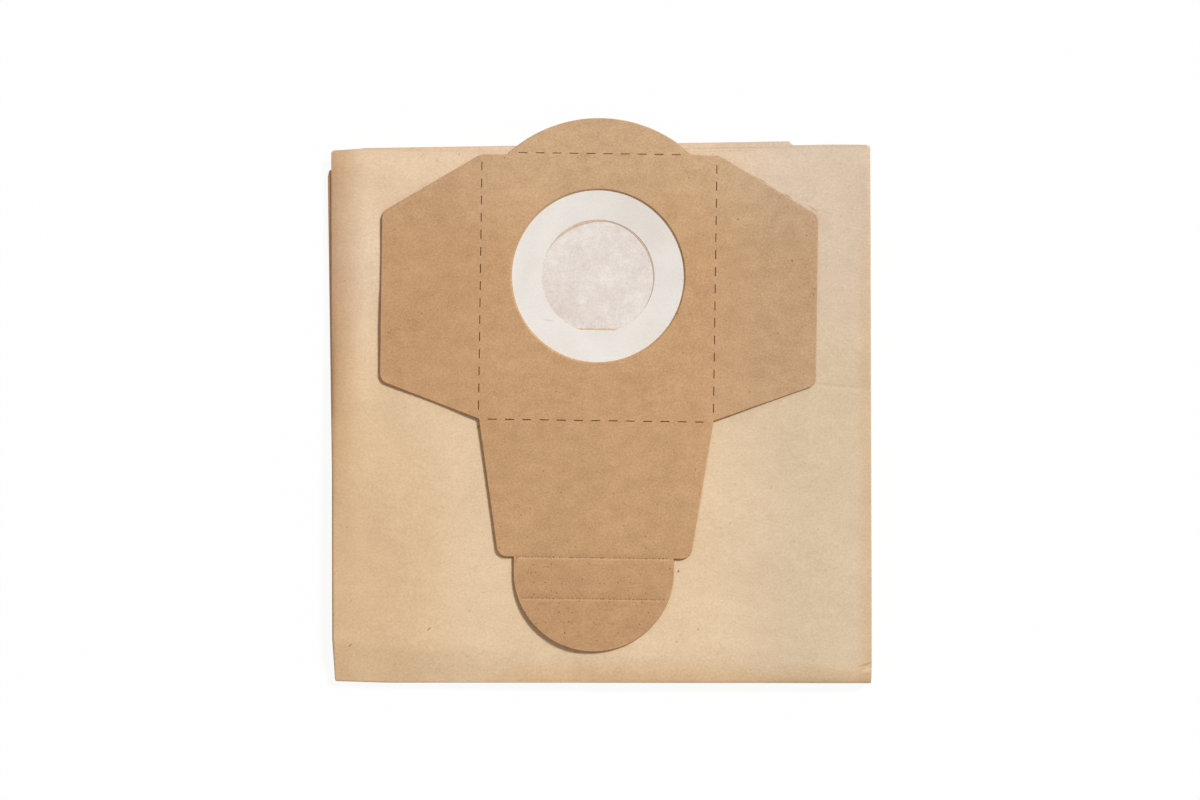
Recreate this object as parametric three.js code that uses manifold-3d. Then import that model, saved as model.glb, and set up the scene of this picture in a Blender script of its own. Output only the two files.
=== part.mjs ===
// Vacuum dust bag, folded flat as sold, with a die-cut card collar and a rubber inlet seal.
// Millimetres, +Z up. The packet lies on Z = 0 with its collar up and its long side along Y.
import * as THREE from 'three';
import { mergeVertices } from 'three/addons/utils/BufferGeometryUtils.js';
import Module from 'manifold-3d';

// Paper plies
const kraftThickness = 0.2;
const linerThickness = 0.15;
const plyClearance = 0.05;

// Flat tube and its folds: two side wings folded behind, then the lower half folded up behind
const tubeThickness = 2;
const wingGap = 0.5;
const halvesGap = 0.5;
const bagWidth = 249.6;
const bagHeight = 247;
const wingsApart = 8;
const endSeam = 12;
const linerSeam = 6;

// How the hand-folded packet departs from square
const frontEndSlope = 0.0085;
const foldLineSlope = -0.0117;
const frontCornerTuck = 1.4;
const lowerLeftTuck = 2.3;
const lowerLeftTuckLength = 20;
const lowerRightFlare = 0.9;
const rearTurn = THREE.MathUtils.degToRad(0.8);
const rearNarrowing = 1.7;
const rearOverhang = 1.8;
const rearEndSlope = -0.0058;
const rearLeftChamfer = { across: 16, along: 12 };
const rearRightChamfer = { across: 30, along: 30 };

// Card collar, measured from the centre of its hole
const cardThickness = 1;
const cardHoleRadius = 40;
const centrePanelWidth = 108.5;
const topLine = 56.5;
const bottomLine = 66.7;
const tabPeak = 72.7;
const tabRadius = 61.6;
const tabRootFillet = 1;
const flapReach = 100.9;
const flapTopCorner = 28.8;
const flapBottomCorner = 49.6;
const flapCornerRadius = 4.6;
const lowerFlapHalfWidth = 44.5;
const lowerFlapEnd = 130.3;
const lowerFlapCornerRadius = 4.4;
const tongueHalfWidth = 37.1;
const tongueShift = -0.5;
const tongueStraight = 6.3;
const tongueCreaseSpacing = 19;
const creaseWidth = 1;
const creaseDepth = 0.3;
const creaseMargin = 2;
const cutterOverrun = 0.5;
const perforationDash = 4.1;
const perforationPitch = 7.9;
const perforationWidth = 0.45;
const perforationMargin = 4.4;
const cardTurn = THREE.MathUtils.degToRad(-0.8);
const cardOffset = { x: -1.3, y: 64 };

// Rubber seal under the card, and the holes in the plies under it
const sealThickness = 0.75;
const sealLap = 10;
const sealHoleRadius = 26.1;
const sealHoleFlat = 1.2;
const kraftHoleInset = 0.5;
const kraftHoleShift = { x: 0.2, y: -0.3 };
const linerHoleOutset = 0.3;

// Facets
const outerBendSteps = 8;
const wingEndSteps = 6;
const innerBendSteps = 4;
const halvesFoldSteps = 12;
const cornerSteps = 3;
const arcSteps = 12;
const holeSteps = 48;
const weldDistance = 1e-5;
const shortestEdge = 1e-4;

const wasm = await Module();
wasm.setup();

const foldedThickness = 2 * tubeThickness + wingGap;
const foldAxisDrop = foldedThickness + halvesGap / 2;
const packetThickness = 2 * foldedThickness + halvesGap;
const foldLength = Math.PI * foldAxisDrop;
const halfWidth = bagWidth / 2;
const halfHeight = bagHeight / 2;
const rearLength = bagHeight + rearOverhang;
const totalLength = bagHeight + foldLength + rearLength;

function finish(color, roughness) {
  return new THREE.MeshStandardMaterial({ color, roughness, metalness: 0 });
}

function toSolid(geometry) {
  const bare = geometry.clone();
  bare.deleteAttribute('normal');
  bare.deleteAttribute('uv');
  const merged = mergeVertices(bare, weldDistance);
  const mesh = new wasm.Mesh({
    numProp: 3,
    vertProperties: new Float32Array(merged.attributes.position.array),
    triVerts: new Uint32Array(merged.index.array),
  });
  return new wasm.Manifold(mesh);
}

function toGeometry(solid) {
  const { vertProperties, triVerts } = solid.getMesh();
  const geometry = new THREE.BufferGeometry();
  geometry.setAttribute('position', new THREE.BufferAttribute(vertProperties, 3));
  geometry.setIndex(new THREE.BufferAttribute(triVerts, 1));
  const faceted = geometry.toNonIndexed();
  faceted.computeVertexNormals();
  return faceted;
}

// The points of a closed outline, without those that repeat the one before
function distinct(points) {
  return points.filter((point, i) => point.distanceTo(points.at(i - 1)) > shortestEdge);
}

// A flat plate of the given outline, standing on the height given
function plate(shape, thickness, height) {
  const geometry = new THREE.ExtrudeGeometry(shape, {
    depth: thickness,
    bevelEnabled: false,
    curveSegments: arcSteps,
  });
  geometry.translate(0, 0, height);
  return geometry;
}

// Points on a half turn from one angle, anticlockwise for a positive sweep
function halfTurn(x, y, radius, from, sweep, steps) {
  return Array.from({ length: steps + 1 }, (_, i) => {
    const angle = from + (sweep * i) / steps;
    return new THREE.Vector2(x + radius * Math.cos(angle), y + radius * Math.sin(angle));
  });
}

// Section across the flat tube with its wings folded behind, drawn inwards by the inset.
// X runs across the bag, and Y runs down from the front face at zero.
function sectionShape(inset) {
  const bendX = halfWidth - foldedThickness / 2;
  const wingEndX = wingsApart / 2 + tubeThickness / 2;
  const wingMiddle = -foldedThickness + tubeThickness / 2;
  const outer = foldedThickness / 2 - inset;
  const inner = wingGap / 2 + inset;
  const wingEnd = tubeThickness / 2 - inset;
  const right = [
    ...halfTurn(wingEndX, wingMiddle, wingEnd, Math.PI / 2, Math.PI, wingEndSteps),
    ...halfTurn(bendX, -foldedThickness / 2, outer, -Math.PI / 2, Math.PI, outerBendSteps),
  ];
  const rightInside = halfTurn(
    bendX, -foldedThickness / 2, inner, Math.PI / 2, -Math.PI, innerBendSteps,
  );
  const mirror = (points) => points.map((p) => new THREE.Vector2(-p.x, p.y)).reverse();
  return new THREE.Shape([
    ...right,
    ...mirror(right),
    ...mirror(rightInside),
    ...rightInside,
  ]);
}

// Distances along the developed bag where its shape changes
function stations(endInset) {
  const foldEnd = bagHeight + foldLength;
  const inner = [
    bagHeight - lowerLeftTuckLength,
    bagHeight - lowerLeftTuckLength / 2,
    totalLength - rearRightChamfer.along,
    totalLength - rearLeftChamfer.along,
    frontCornerTuck,
  ];
  for (let i = 0; i <= halvesFoldSteps; i += 1) {
    inner.push(bagHeight + (foldEnd - bagHeight) * (i / halvesFoldSteps));
  }
  const start = endInset;
  const end = totalLength - endInset;
  const kept = inner.filter((along) => along > start && along < end);
  return [start, ...kept.sort((a, b) => a - b), end];
}

const smooth = (t) => THREE.MathUtils.smoothstep(t, 0, 1);
const between = (value, from, to) => THREE.MathUtils.clamp((value - from) / (to - from), 0, 1);

// How far each side fold stands from the middle of the packet, at a distance along the bag
function sideReach(isLeft, along) {
  const corner = frontCornerTuck * (1 - between(along, 0, frontCornerTuck));
  const tuck = smooth(between(along, bagHeight - lowerLeftTuckLength, bagHeight));
  const flare = between(along, 0, bagHeight);
  const front = halfWidth - corner + (isLeft ? -lowerLeftTuck * tuck : lowerRightFlare * flare);
  const chamfer = isLeft ? rearLeftChamfer : rearRightChamfer;
  const cut = chamfer.across * between(along, totalLength - chamfer.along, totalLength);
  const rear = halfWidth - rearNarrowing - cut;
  const turned = between(along, bagHeight, bagHeight + foldLength);
  return THREE.MathUtils.lerp(front, rear, turned);
}

// Carries a point of the developed bag to its place in the folded packet
function fold(across, depth, along) {
  const x = (across * sideReach(across < 0, along)) / halfWidth;
  const frontEnd = halfHeight + frontEndSlope * x;
  const foldLine = -halfHeight + foldAxisDrop + foldLineSlope * x;
  if (along <= bagHeight) {
    const y = THREE.MathUtils.lerp(frontEnd, foldLine, along / bagHeight);
    return [x, y, packetThickness + depth];
  }
  const turned = between(along, bagHeight, bagHeight + foldLength);
  const angle = Math.PI * turned;
  const radius = foldAxisDrop + depth;
  const rearEnd = halfHeight + rearOverhang + rearEndSlope * x;
  const risen = between(along, bagHeight + foldLength, totalLength);
  const y = THREE.MathUtils.lerp(foldLine, rearEnd, risen) - radius * Math.sin(angle);
  const pivotY = -halfHeight + foldAxisDrop;
  const turn = rearTurn * turned;
  return [
    x * Math.cos(turn) - (y - pivotY) * Math.sin(turn),
    pivotY + x * Math.sin(turn) + (y - pivotY) * Math.cos(turn),
    turned < 1 ? packetThickness / 2 + radius * Math.cos(angle) : -depth,
  ];
}

// The surface of one ply as a closed solid, folded into the packet
function foldedTube(inset, endInset) {
  const places = stations(endInset);
  const steps = places.length - 1;
  const geometry = new THREE.ExtrudeGeometry(sectionShape(inset), {
    depth: steps,
    steps,
    bevelEnabled: false,
  });
  const position = geometry.attributes.position;
  for (let i = 0; i < position.count; i += 1) {
    const along = places[Math.round(position.getZ(i))];
    position.setXYZ(i, ...fold(position.getX(i), position.getY(i), along));
  }
  return toSolid(geometry);
}

// A round hole with one flat, at the lower side of the inlet
function inletPath(radius, flat) {
  const flatAngle = Math.acos((radius - flat) / radius);
  const path = new THREE.Path();
  path.absarc(0, 0, radius, -Math.PI / 2 + flatAngle, (3 * Math.PI) / 2 - flatAngle, false);
  path.closePath();
  return path;
}

function placeOnCollarCentre(geometry) {
  geometry.rotateZ(cardTurn);
  geometry.translate(cardOffset.x, cardOffset.y, 0);
  return geometry;
}

// Cutter for a ply's inlet hole, through the front wall of the tube only
function inletCutter(radius, shift) {
  const path = inletPath(radius, sealHoleFlat);
  const shape = new THREE.Shape(distinct(path.getPoints(holeSteps)));
  const depth = tubeThickness / 2 + sealThickness;
  const cutter = new THREE.ExtrudeGeometry(shape, { depth, bevelEnabled: false });
  cutter.translate(shift.x, shift.y, packetThickness - tubeThickness / 2);
  return toSolid(placeOnCollarCentre(cutter));
}

function buildFilterBag() {
  const outside = foldedTube(0, 0);
  const inside = foldedTube(kraftThickness, endSeam);
  const hole = inletCutter(sealHoleRadius - kraftHoleInset, kraftHoleShift);
  return toGeometry(outside.subtract(inside).subtract(hole));
}

function buildInnerPly() {
  const outerInset = kraftThickness + plyClearance;
  const outside = foldedTube(outerInset, endSeam + plyClearance);
  const inside = foldedTube(outerInset + linerThickness, endSeam + linerSeam);
  const hole = inletCutter(sealHoleRadius + linerHoleOutset, kraftHoleShift);
  return toGeometry(outside.subtract(inside).subtract(hole));
}

function buildSeal() {
  const disc = new THREE.Shape();
  disc.absarc(0, 0, cardHoleRadius + sealLap, 0, 2 * Math.PI, false);
  const shape = new THREE.Shape(distinct(disc.getPoints(holeSteps)));
  const hole = inletPath(sealHoleRadius, sealHoleFlat);
  shape.holes.push(new THREE.Path(distinct(hole.getPoints(holeSteps))));
  return placeOnCollarCentre(plate(shape, sealThickness, packetThickness));
}

// An outline through corners, each [x, y, radius], with its corners rounded by arcs
function roundedOutline(corners) {
  const shape = new THREE.Shape();
  corners.forEach(([x, y, radius], i) => {
    const corner = new THREE.Vector2(x, y);
    const last = corners.at(i - 1);
    const next = corners[(i + 1) % corners.length];
    const toLast = new THREE.Vector2(last[0], last[1]).sub(corner).normalize();
    const toNext = new THREE.Vector2(next[0], next[1]).sub(corner).normalize();
    const half = Math.acos(THREE.MathUtils.clamp(toLast.dot(toNext), -1, 1)) / 2;
    const reach = radius / Math.tan(half);
    const start = corner.clone().addScaledVector(toLast, reach);
    const end = corner.clone().addScaledVector(toNext, reach);
    const middle = toLast.clone().add(toNext).normalize();
    const centre = corner.clone().addScaledVector(middle, radius / Math.sin(half));
    const from = start.clone().sub(centre).angle();
    const to = end.clone().sub(centre).angle();
    const clockwise = toLast.cross(toNext) > 0;
    if (radius > 0) {
      shape.absarc(centre.x, centre.y, radius, from, to, clockwise);
    } else {
      shape.lineTo(corner.x, corner.y);
    }
  });
  return shape;
}

// The collar's outline, starting at the left root of the round tab and going clockwise
function collarCorners() {
  const edge = centrePanelWidth / 2;
  const tabCentre = tabPeak - tabRadius;
  const rootX = Math.sqrt(tabRadius ** 2 - (topLine - tabCentre) ** 2);
  const rootAngle = Math.atan2(topLine - tabCentre, rootX);
  const tab = [];
  for (let i = 1; i < 2 * arcSteps; i += 1) {
    const angle = THREE.MathUtils.lerp(Math.PI - rootAngle, rootAngle, i / (2 * arcSteps));
    tab.push([tabRadius * Math.cos(angle), tabCentre + tabRadius * Math.sin(angle), 0]);
  }
  const tongueRight = tongueShift + tongueHalfWidth;
  const tongueLeft = tongueShift - tongueHalfWidth;
  const tongueCentre = lowerFlapEnd + tongueStraight;
  const tongue = [];
  for (let i = 0; i <= 2 * arcSteps; i += 1) {
    const angle = (-Math.PI * i) / (2 * arcSteps);
    const x = tongueShift + tongueHalfWidth * Math.cos(angle);
    tongue.push([x, -tongueCentre + tongueHalfWidth * Math.sin(angle), 0]);
  }
  return [
    [-rootX, topLine, tabRootFillet],
    ...tab,
    [rootX, topLine, tabRootFillet],
    [edge, topLine, flapCornerRadius],
    [flapReach, flapTopCorner, flapCornerRadius],
    [flapReach, -flapBottomCorner, flapCornerRadius],
    [edge, -bottomLine, 0],
    [lowerFlapHalfWidth, -lowerFlapEnd, lowerFlapCornerRadius],
    [tongueRight, -lowerFlapEnd, 0],
    ...tongue,
    [tongueLeft, -lowerFlapEnd, 0],
    [-lowerFlapHalfWidth, -lowerFlapEnd, lowerFlapCornerRadius],
    [-edge, -bottomLine, 0],
    [-flapReach, -flapBottomCorner, flapCornerRadius],
    [-flapReach, flapTopCorner, flapCornerRadius],
    [-edge, topLine, flapCornerRadius],
  ];
}

// Slots cut along a tear line between two points
function perforations(from, to) {
  const line = to.clone().sub(from);
  const direction = line.clone().normalize();
  const side = new THREE.Vector2(-direction.y, direction.x).multiplyScalar(perforationWidth / 2);
  const run = line.length() - 2 * perforationMargin - perforationDash;
  const gaps = Math.max(1, Math.round(run / perforationPitch));
  return Array.from({ length: gaps + 1 }, (_, i) => {
    const start = perforationMargin + (run * i) / gaps;
    const a = from.clone().addScaledVector(direction, start);
    const b = from.clone().addScaledVector(direction, start + perforationDash);
    return new THREE.Shape([
      a.clone().sub(side), b.clone().sub(side), b.clone().add(side), a.clone().add(side),
    ]);
  });
}

// A groove pressed into the card's upper face, across the tongue
function creaseCutter(y, halfLength) {
  const face = packetThickness + sealThickness + cardThickness;
  const section = new THREE.Shape([
    new THREE.Vector2(-creaseWidth / 2, creaseDepth / 2),
    new THREE.Vector2(0, -creaseDepth),
    new THREE.Vector2(creaseWidth / 2, creaseDepth / 2),
  ]);
  const groove = new THREE.ExtrudeGeometry(section, { depth: 2 * halfLength, bevelEnabled: false });
  groove.rotateX(Math.PI / 2);
  groove.rotateZ(Math.PI / 2);
  groove.translate(tongueShift - halfLength, y, face);
  return toSolid(placeOnCollarCentre(groove));
}

function buildCollar() {
  const edge = centrePanelWidth / 2;
  const tabRoot = Math.sqrt(tabRadius ** 2 - (topLine - tabPeak + tabRadius) ** 2);
  const at = (x, y) => new THREE.Vector2(x, y);
  const height = packetThickness + sealThickness;
  const outline = roundedOutline(collarCorners());
  const shape = new THREE.Shape(distinct(outline.getPoints(cornerSteps)));
  const hole = new THREE.Path();
  hole.absarc(0, 0, cardHoleRadius, 0, 2 * Math.PI, false);
  shape.holes.push(new THREE.Path(distinct(hole.getPoints(holeSteps))));
  const board = toSolid(placeOnCollarCentre(plate(shape, cardThickness, height)));
  const slots = [
    ...perforations(at(-edge, -bottomLine), at(-edge, topLine)),
    ...perforations(at(edge, -bottomLine), at(edge, topLine)),
    ...perforations(at(-tabRoot, topLine), at(tabRoot, topLine)),
    ...perforations(at(-edge, -bottomLine), at(edge, -bottomLine)),
  ];
  const slotCutter = plate(slots, cardThickness + 2 * cutterOverrun, height - cutterOverrun);
  const secondRise = tongueCreaseSpacing - tongueStraight;
  const secondHalfWidth = Math.sqrt(tongueHalfWidth ** 2 - secondRise ** 2);
  const cutters = [
    toSolid(placeOnCollarCentre(slotCutter)),
    creaseCutter(-lowerFlapEnd, tongueHalfWidth - creaseMargin),
    creaseCutter(-lowerFlapEnd - tongueCreaseSpacing, secondHalfWidth - creaseMargin),
  ];
  return toGeometry(cutters.reduce((card, cutter) => card.subtract(cutter), board));
}

function named(name, geometry, material) {
  const mesh = new THREE.Mesh(geometry, material);
  mesh.name = name;
  return mesh;
}

const group = new THREE.Group();
group.add(
  named('filter_bag', buildFilterBag(), finish(0xdcc09c, 0.9)),
  named('inner_ply', buildInnerPly(), finish(0xe4dad2, 0.95)),
  named('inlet_seal', buildSeal(), finish(0xe8e0d8, 0.6)),
  named('card_collar', buildCollar(), finish(0xc59c70, 0.85)),
);
const centre = new THREE.Box3().setFromObject(group).getCenter(new THREE.Vector3());
group.position.set(-centre.x, -centre.y, 0);

export default group;
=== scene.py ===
"""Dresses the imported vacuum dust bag: kraft paper, inner ply, rubber seal and card collar."""

import logging
import math
from dataclasses import astuple, dataclass, field, replace
from enum import Enum
from typing import Any

import bpy
import numpy as np
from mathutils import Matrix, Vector


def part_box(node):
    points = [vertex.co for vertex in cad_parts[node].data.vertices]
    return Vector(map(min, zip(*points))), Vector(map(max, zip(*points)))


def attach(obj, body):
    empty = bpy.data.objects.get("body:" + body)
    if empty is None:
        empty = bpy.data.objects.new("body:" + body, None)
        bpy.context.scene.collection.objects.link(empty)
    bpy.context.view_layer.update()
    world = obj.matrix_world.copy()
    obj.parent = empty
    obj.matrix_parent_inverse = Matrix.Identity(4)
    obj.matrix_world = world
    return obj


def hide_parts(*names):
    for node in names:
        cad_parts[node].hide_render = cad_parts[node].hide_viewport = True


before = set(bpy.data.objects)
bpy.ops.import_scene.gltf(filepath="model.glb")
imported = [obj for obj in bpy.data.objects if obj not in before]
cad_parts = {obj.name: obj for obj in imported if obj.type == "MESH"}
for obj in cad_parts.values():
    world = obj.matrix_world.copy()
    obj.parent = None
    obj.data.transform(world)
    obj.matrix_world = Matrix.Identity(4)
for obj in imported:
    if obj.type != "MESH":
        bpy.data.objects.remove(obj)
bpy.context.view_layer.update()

LOG = logging.getLogger("dust_bag")
MM = 0.001
BODY = "root"
EDGE = "cut_edge"
CUT_EDGE_MM = 0.6
MARK_DEPTH_MM = 14.0
OVAL_FADES_FROM = 0.4

# The Mix node's sockets for colours, by number, because they share their names with others
MIX_FIRST, MIX_SECOND, MIX_RESULT = 6, 7, 2

# What a node's input takes: a node, one of its outputs or a plain value
Feed = Any


class Solver(Enum):
    """How one solid is combined with another."""

    CUT = "DIFFERENCE"
    KEEP_COMMON = "INTERSECT"


@dataclass(frozen=True)
class PhotoFrame:
    """The photograph's frame, laid over the model."""

    width_px: int = 1200
    height_px: int = 800
    mm_per_px: float = 0.4621
    centre_x_px: float = 600.0
    centre_y_px: float = 401.1
    plane_mm: float = 10.0

    def place(self, x_px: float, y_px: float) -> tuple[float, float]:
        """Returns the model's x and y, in mm, of a pixel of the photograph."""
        x = (x_px - self.centre_x_px) * self.mm_per_px
        return x, (self.centre_y_px - y_px) * self.mm_per_px


PHOTO = PhotoFrame()


def linear_colour(code: str) -> tuple[float, float, float, float]:
    """Turns an sRGB hex colour into the linear colour that shaders take.

    Args:
        code: the colour as six hex digits.

    Returns:
        Red, green, blue and an alpha of one.
    """
    parts = [int(code[i:i + 2], 16) / 255 for i in (0, 2, 4)]
    linear = [c / 12.92 if c <= 0.04045 else ((c + 0.055) / 1.055) ** 2.4 for c in parts]
    return (*linear, 1.0)


def add_node(tree: bpy.types.NodeTree, kind: str, inputs: dict | None = None,
             **settings: Any) -> bpy.types.Node:
    """Adds a node with its settings and links.

    Args:
        tree: the tree that gets the node.
        kind: the node's type name.
        inputs: values, sockets or nodes by input name or index. A node gives its first output.
        settings: the node's own properties.

    Returns:
        The new node.
    """
    node = tree.nodes.new(kind)
    for name, value in settings.items():
        setattr(node, name, value)
    for key, value in (inputs or {}).items():
        if isinstance(value, bpy.types.Node):
            value = value.outputs[0]
        if isinstance(value, bpy.types.NodeSocket):
            tree.links.new(value, node.inputs[key])
        else:
            node.inputs[key].default_value = value
    return node


def smoothstep(value: Any, low: float, high: float) -> Any:
    """Returns 0 below low, 1 above high and a smooth rise between them."""
    t = np.clip((value - low) / (high - low), 0.0, 1.0)
    return t * t * (3 - 2 * t)


def mesh_object(name: str, points: np.ndarray, faces: list, edge: np.ndarray | None = None,
                lines: tuple = ()) -> bpy.types.Object:
    """Makes a mesh object from points in millimetres.

    Args:
        name: the object's name.
        points: an array of x, y and z rows, in mm.
        faces: the faces, as lists of point numbers.
        edge: how much of a cut edge each point is, from 0 to 1.
        lines: edges without faces, as pairs of point numbers.

    Returns:
        The object, at the origin, with its size in metres.
    """
    mesh = bpy.data.meshes.new(name)
    mesh.from_pydata((np.asarray(points, float) * MM).tolist(), lines, faces)
    if edge is not None:
        mesh.attributes.new(EDGE, "FLOAT", "POINT").data.foreach_set("value", edge)
    mesh.validate()
    piece = bpy.data.objects.new(name, mesh)
    bpy.context.scene.collection.objects.link(piece)
    return piece


def evaluated_mesh(piece: bpy.types.Object) -> None:
    """Turns a piece's modifiers into its plain mesh and removes them.

    Args:
        piece: the piece, which keeps its name.
    """
    bpy.context.view_layer.update()
    graph = bpy.context.evaluated_depsgraph_get()
    result = bpy.data.meshes.new_from_object(piece.evaluated_get(graph))
    piece.modifiers.clear()
    piece.data = result
    result.name = piece.name


def combine(piece: bpy.types.Object, tools: list[bpy.types.Object], how: Solver) -> None:
    """Cuts a piece by tools, or keeps what it has in common with them.

    Args:
        piece: the piece, whose mesh is replaced.
        tools: closed solids, which are deleted.
        how: whether to cut or to keep the common part.
    """
    for tool in tools:
        step = piece.modifiers.new(tool.name, "BOOLEAN")
        step.operation = how.value
        step.solver = "EXACT"
        step.object = tool
    evaluated_mesh(piece)
    for tool in tools:
        bpy.data.objects.remove(tool)


def joined_loops(count: int, size: int, is_ring: bool = False) -> list[tuple[int, ...]]:
    """Returns the faces between closed loops of points.

    Args:
        count: how many loops there are, each numbered on from the one before.
        size: how many points each loop has.
        is_ring: whether the last loop is joined to the first.

    Returns:
        The faces, as tuples of point numbers.
    """
    faces = []
    for here in range(count if is_ring else count - 1):
        start, end = here * size, (here + 1) % count * size
        for i in range(size):
            j = (i + 1) % size
            faces.append((start + i, start + j, end + j, end + i))
    return faces


def arc_points(radius: float, angles: np.ndarray) -> list[tuple[float, float]]:
    """Returns the points of an arc about the origin."""
    return [(radius * math.cos(angle), radius * math.sin(angle)) for angle in angles]


def prism(name: str, outline: np.ndarray, low: float, high: float,
          top: np.ndarray | None = None) -> bpy.types.Object:
    """Makes an upright solid between two heights in mm.

    Args:
        name: the object's name.
        outline: rows of x and y that run anticlockwise.
        low: height of its lower face.
        high: height of its upper face.
        top: the outline of its upper face, where that is another one.

    Returns:
        The solid.
    """
    count = len(outline)
    top = outline if top is None else top
    points = [(x, y, z) for z, rows in ((low, outline), (high, top)) for x, y in rows]
    bottom, lid = list(reversed(range(count))), list(range(count, 2 * count))
    faces = [bottom, lid, *joined_loops(2, count)]
    return mesh_object(name, np.array(points), faces)


def shade(piece: bpy.types.Object, degrees: float) -> None:
    """Shades a piece smooth, apart from edges sharper than the angle given."""
    piece.data.shade_smooth()
    piece.data.set_sharp_from_angle(angle=math.radians(degrees))


def finish_piece(piece: bpy.types.Object, node: str,
                 material: bpy.types.Material) -> None:
    """Gives a piece its finish and puts it in the place of a node of the frame.

    Args:
        piece: the finished piece.
        node: the node that it replaces.
        material: the material itself.
    """
    piece.data.materials.clear()
    piece.data.materials.append(material)
    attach(piece, BODY)
    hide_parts(node)
    LOG.info("%s: %d faces", piece.name, len(piece.data.polygons))


def position_mm(tree: bpy.types.NodeTree) -> bpy.types.Node:
    """Places the pattern of a material.

    Args:
        tree: the material's tree.

    Returns:
        A node that gives the point of the surface in mm.
    """
    place = add_node(tree, "ShaderNodeTexCoord")
    inputs = {0: place.outputs["Object"], "Scale": 1 / MM}
    return add_node(tree, "ShaderNodeVectorMath", inputs, operation="SCALE")


@dataclass(frozen=True)
class Grain:
    """One layer of soft variation in a finish."""

    size_mm: float
    strength: float
    stretch: float = 1.0
    turn_degrees: float = 0.0
    detail: float = 2.0

    def add(self, tree: bpy.types.NodeTree, position: Feed, total: Feed) -> bpy.types.Node:
        """Adds this layer to the brightness so far.

        Args:
            tree: the material's tree.
            position: the point of the surface, in mm.
            total: the brightness so far.

        Returns:
            The node that gives the new brightness.
        """
        turned = {
            0: position,
            "Rotation": (0, 0, math.radians(self.turn_degrees)),
            "Scale": (1 / self.stretch, 1, 1),
        }
        mapped = add_node(tree, "ShaderNodeMapping", turned)
        inputs = {"Vector": mapped, "Scale": 1 / self.size_mm, "Detail": self.detail}
        noise = add_node(tree, "ShaderNodeTexNoise", inputs)
        centred = add_node(tree, "ShaderNodeMath", {0: noise, 1: 0.5}, operation="SUBTRACT")
        inputs = {0: centred, 1: self.strength, 2: total}
        return add_node(tree, "ShaderNodeMath", inputs, operation="MULTIPLY_ADD")


@dataclass(frozen=True)
class Flecks:
    """Short fibres or specks scattered over a finish, one to a cell at most."""

    spacing_mm: float
    length_mm: float
    width_mm: float
    share: float
    strength: float
    seed: float
    y_mm: tuple[float, float] | None = None

    def add(self, tree: bpy.types.NodeTree, position: Feed, total: Feed) -> bpy.types.Node:
        """Darkens the finish on each fibre.

        Args:
            tree: the material's tree.
            position: the point of the surface, in mm.
            total: the brightness so far.

        Returns:
            The node that gives the new brightness.
        """
        inputs = {0: position, 1: (self.seed, self.seed, 0)}
        moved = add_node(tree, "ShaderNodeVectorMath", inputs, operation="ADD")
        inputs = {0: moved, "Scale": 1 / self.spacing_mm}
        scaled = add_node(tree, "ShaderNodeVectorMath", inputs, operation="SCALE")
        inputs = {"Vector": scaled, "Scale": 1.0}
        cells = add_node(tree, "ShaderNodeTexVoronoi", inputs, voronoi_dimensions="2D")
        inputs = {0: scaled, 1: cells.outputs["Position"]}
        offset = add_node(tree, "ShaderNodeVectorMath", inputs, operation="SUBTRACT")
        chance = add_node(tree, "ShaderNodeSeparateColor", {0: cells.outputs["Color"]})
        inputs = {0: chance.outputs[0], 1: 2 * math.pi}
        angle = add_node(tree, "ShaderNodeMath", inputs, operation="MULTIPLY")
        inputs = {"Vector": offset, "Angle": angle}
        turned = add_node(tree, "ShaderNodeVectorRotate", inputs, rotation_type="Z_AXIS")
        shape = (self.spacing_mm / self.length_mm, self.spacing_mm / self.width_mm, 0)
        mark = oval(tree, turned, shape, self.strength)
        inputs = {0: chance.outputs[1], 1: self.share}
        kept = add_node(tree, "ShaderNodeMath", inputs, operation="LESS_THAN")
        seen = add_node(tree, "ShaderNodeMath", {0: mark, 1: kept}, operation="MULTIPLY")
        if self.y_mm is not None:
            place = add_node(tree, "ShaderNodeSeparateXYZ", {0: position})
            inputs = {"Value": place.outputs[1], 1: self.y_mm[0], 2: self.y_mm[1]}
            ramp = add_node(tree, "ShaderNodeMapRange", inputs)
            seen = add_node(tree, "ShaderNodeMath", {0: seen, 1: ramp}, operation="MULTIPLY")
        return add_node(tree, "ShaderNodeMath", {0: total, 1: seen}, operation="SUBTRACT")


@dataclass(frozen=True)
class Mark:
    """One fibre or scuff, or a patch of painted shade or painted highlight, at a pixel of the
    frame, on the front only.
    """

    x_px: float
    y_px: float
    length_mm: float
    width_mm: float
    turn_degrees: float
    strength: float

    def add(self, tree: bpy.types.NodeTree, position: Feed, total: Feed) -> bpy.types.Node:
        """Darkens the finish on the mark, or lightens it where the strength is below zero.

        Args:
            tree: the material's tree.
            position: the point of the surface, in mm.
            total: the brightness so far.

        Returns:
            The node that gives the new brightness.
        """
        x, y = PHOTO.place(self.x_px, self.y_px)
        inputs = {0: position, 1: (x, y, PHOTO.plane_mm)}
        offset = add_node(tree, "ShaderNodeVectorMath", inputs, operation="SUBTRACT")
        inputs = {"Vector": offset, "Angle": math.radians(-self.turn_degrees)}
        turned = add_node(tree, "ShaderNodeVectorRotate", inputs, rotation_type="Z_AXIS")
        shape = (1 / self.length_mm, 1 / self.width_mm, 1 / MARK_DEPTH_MM)
        mark = oval(tree, turned, shape, self.strength)
        return add_node(tree, "ShaderNodeMath", {0: total, 1: mark}, operation="SUBTRACT")


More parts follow.
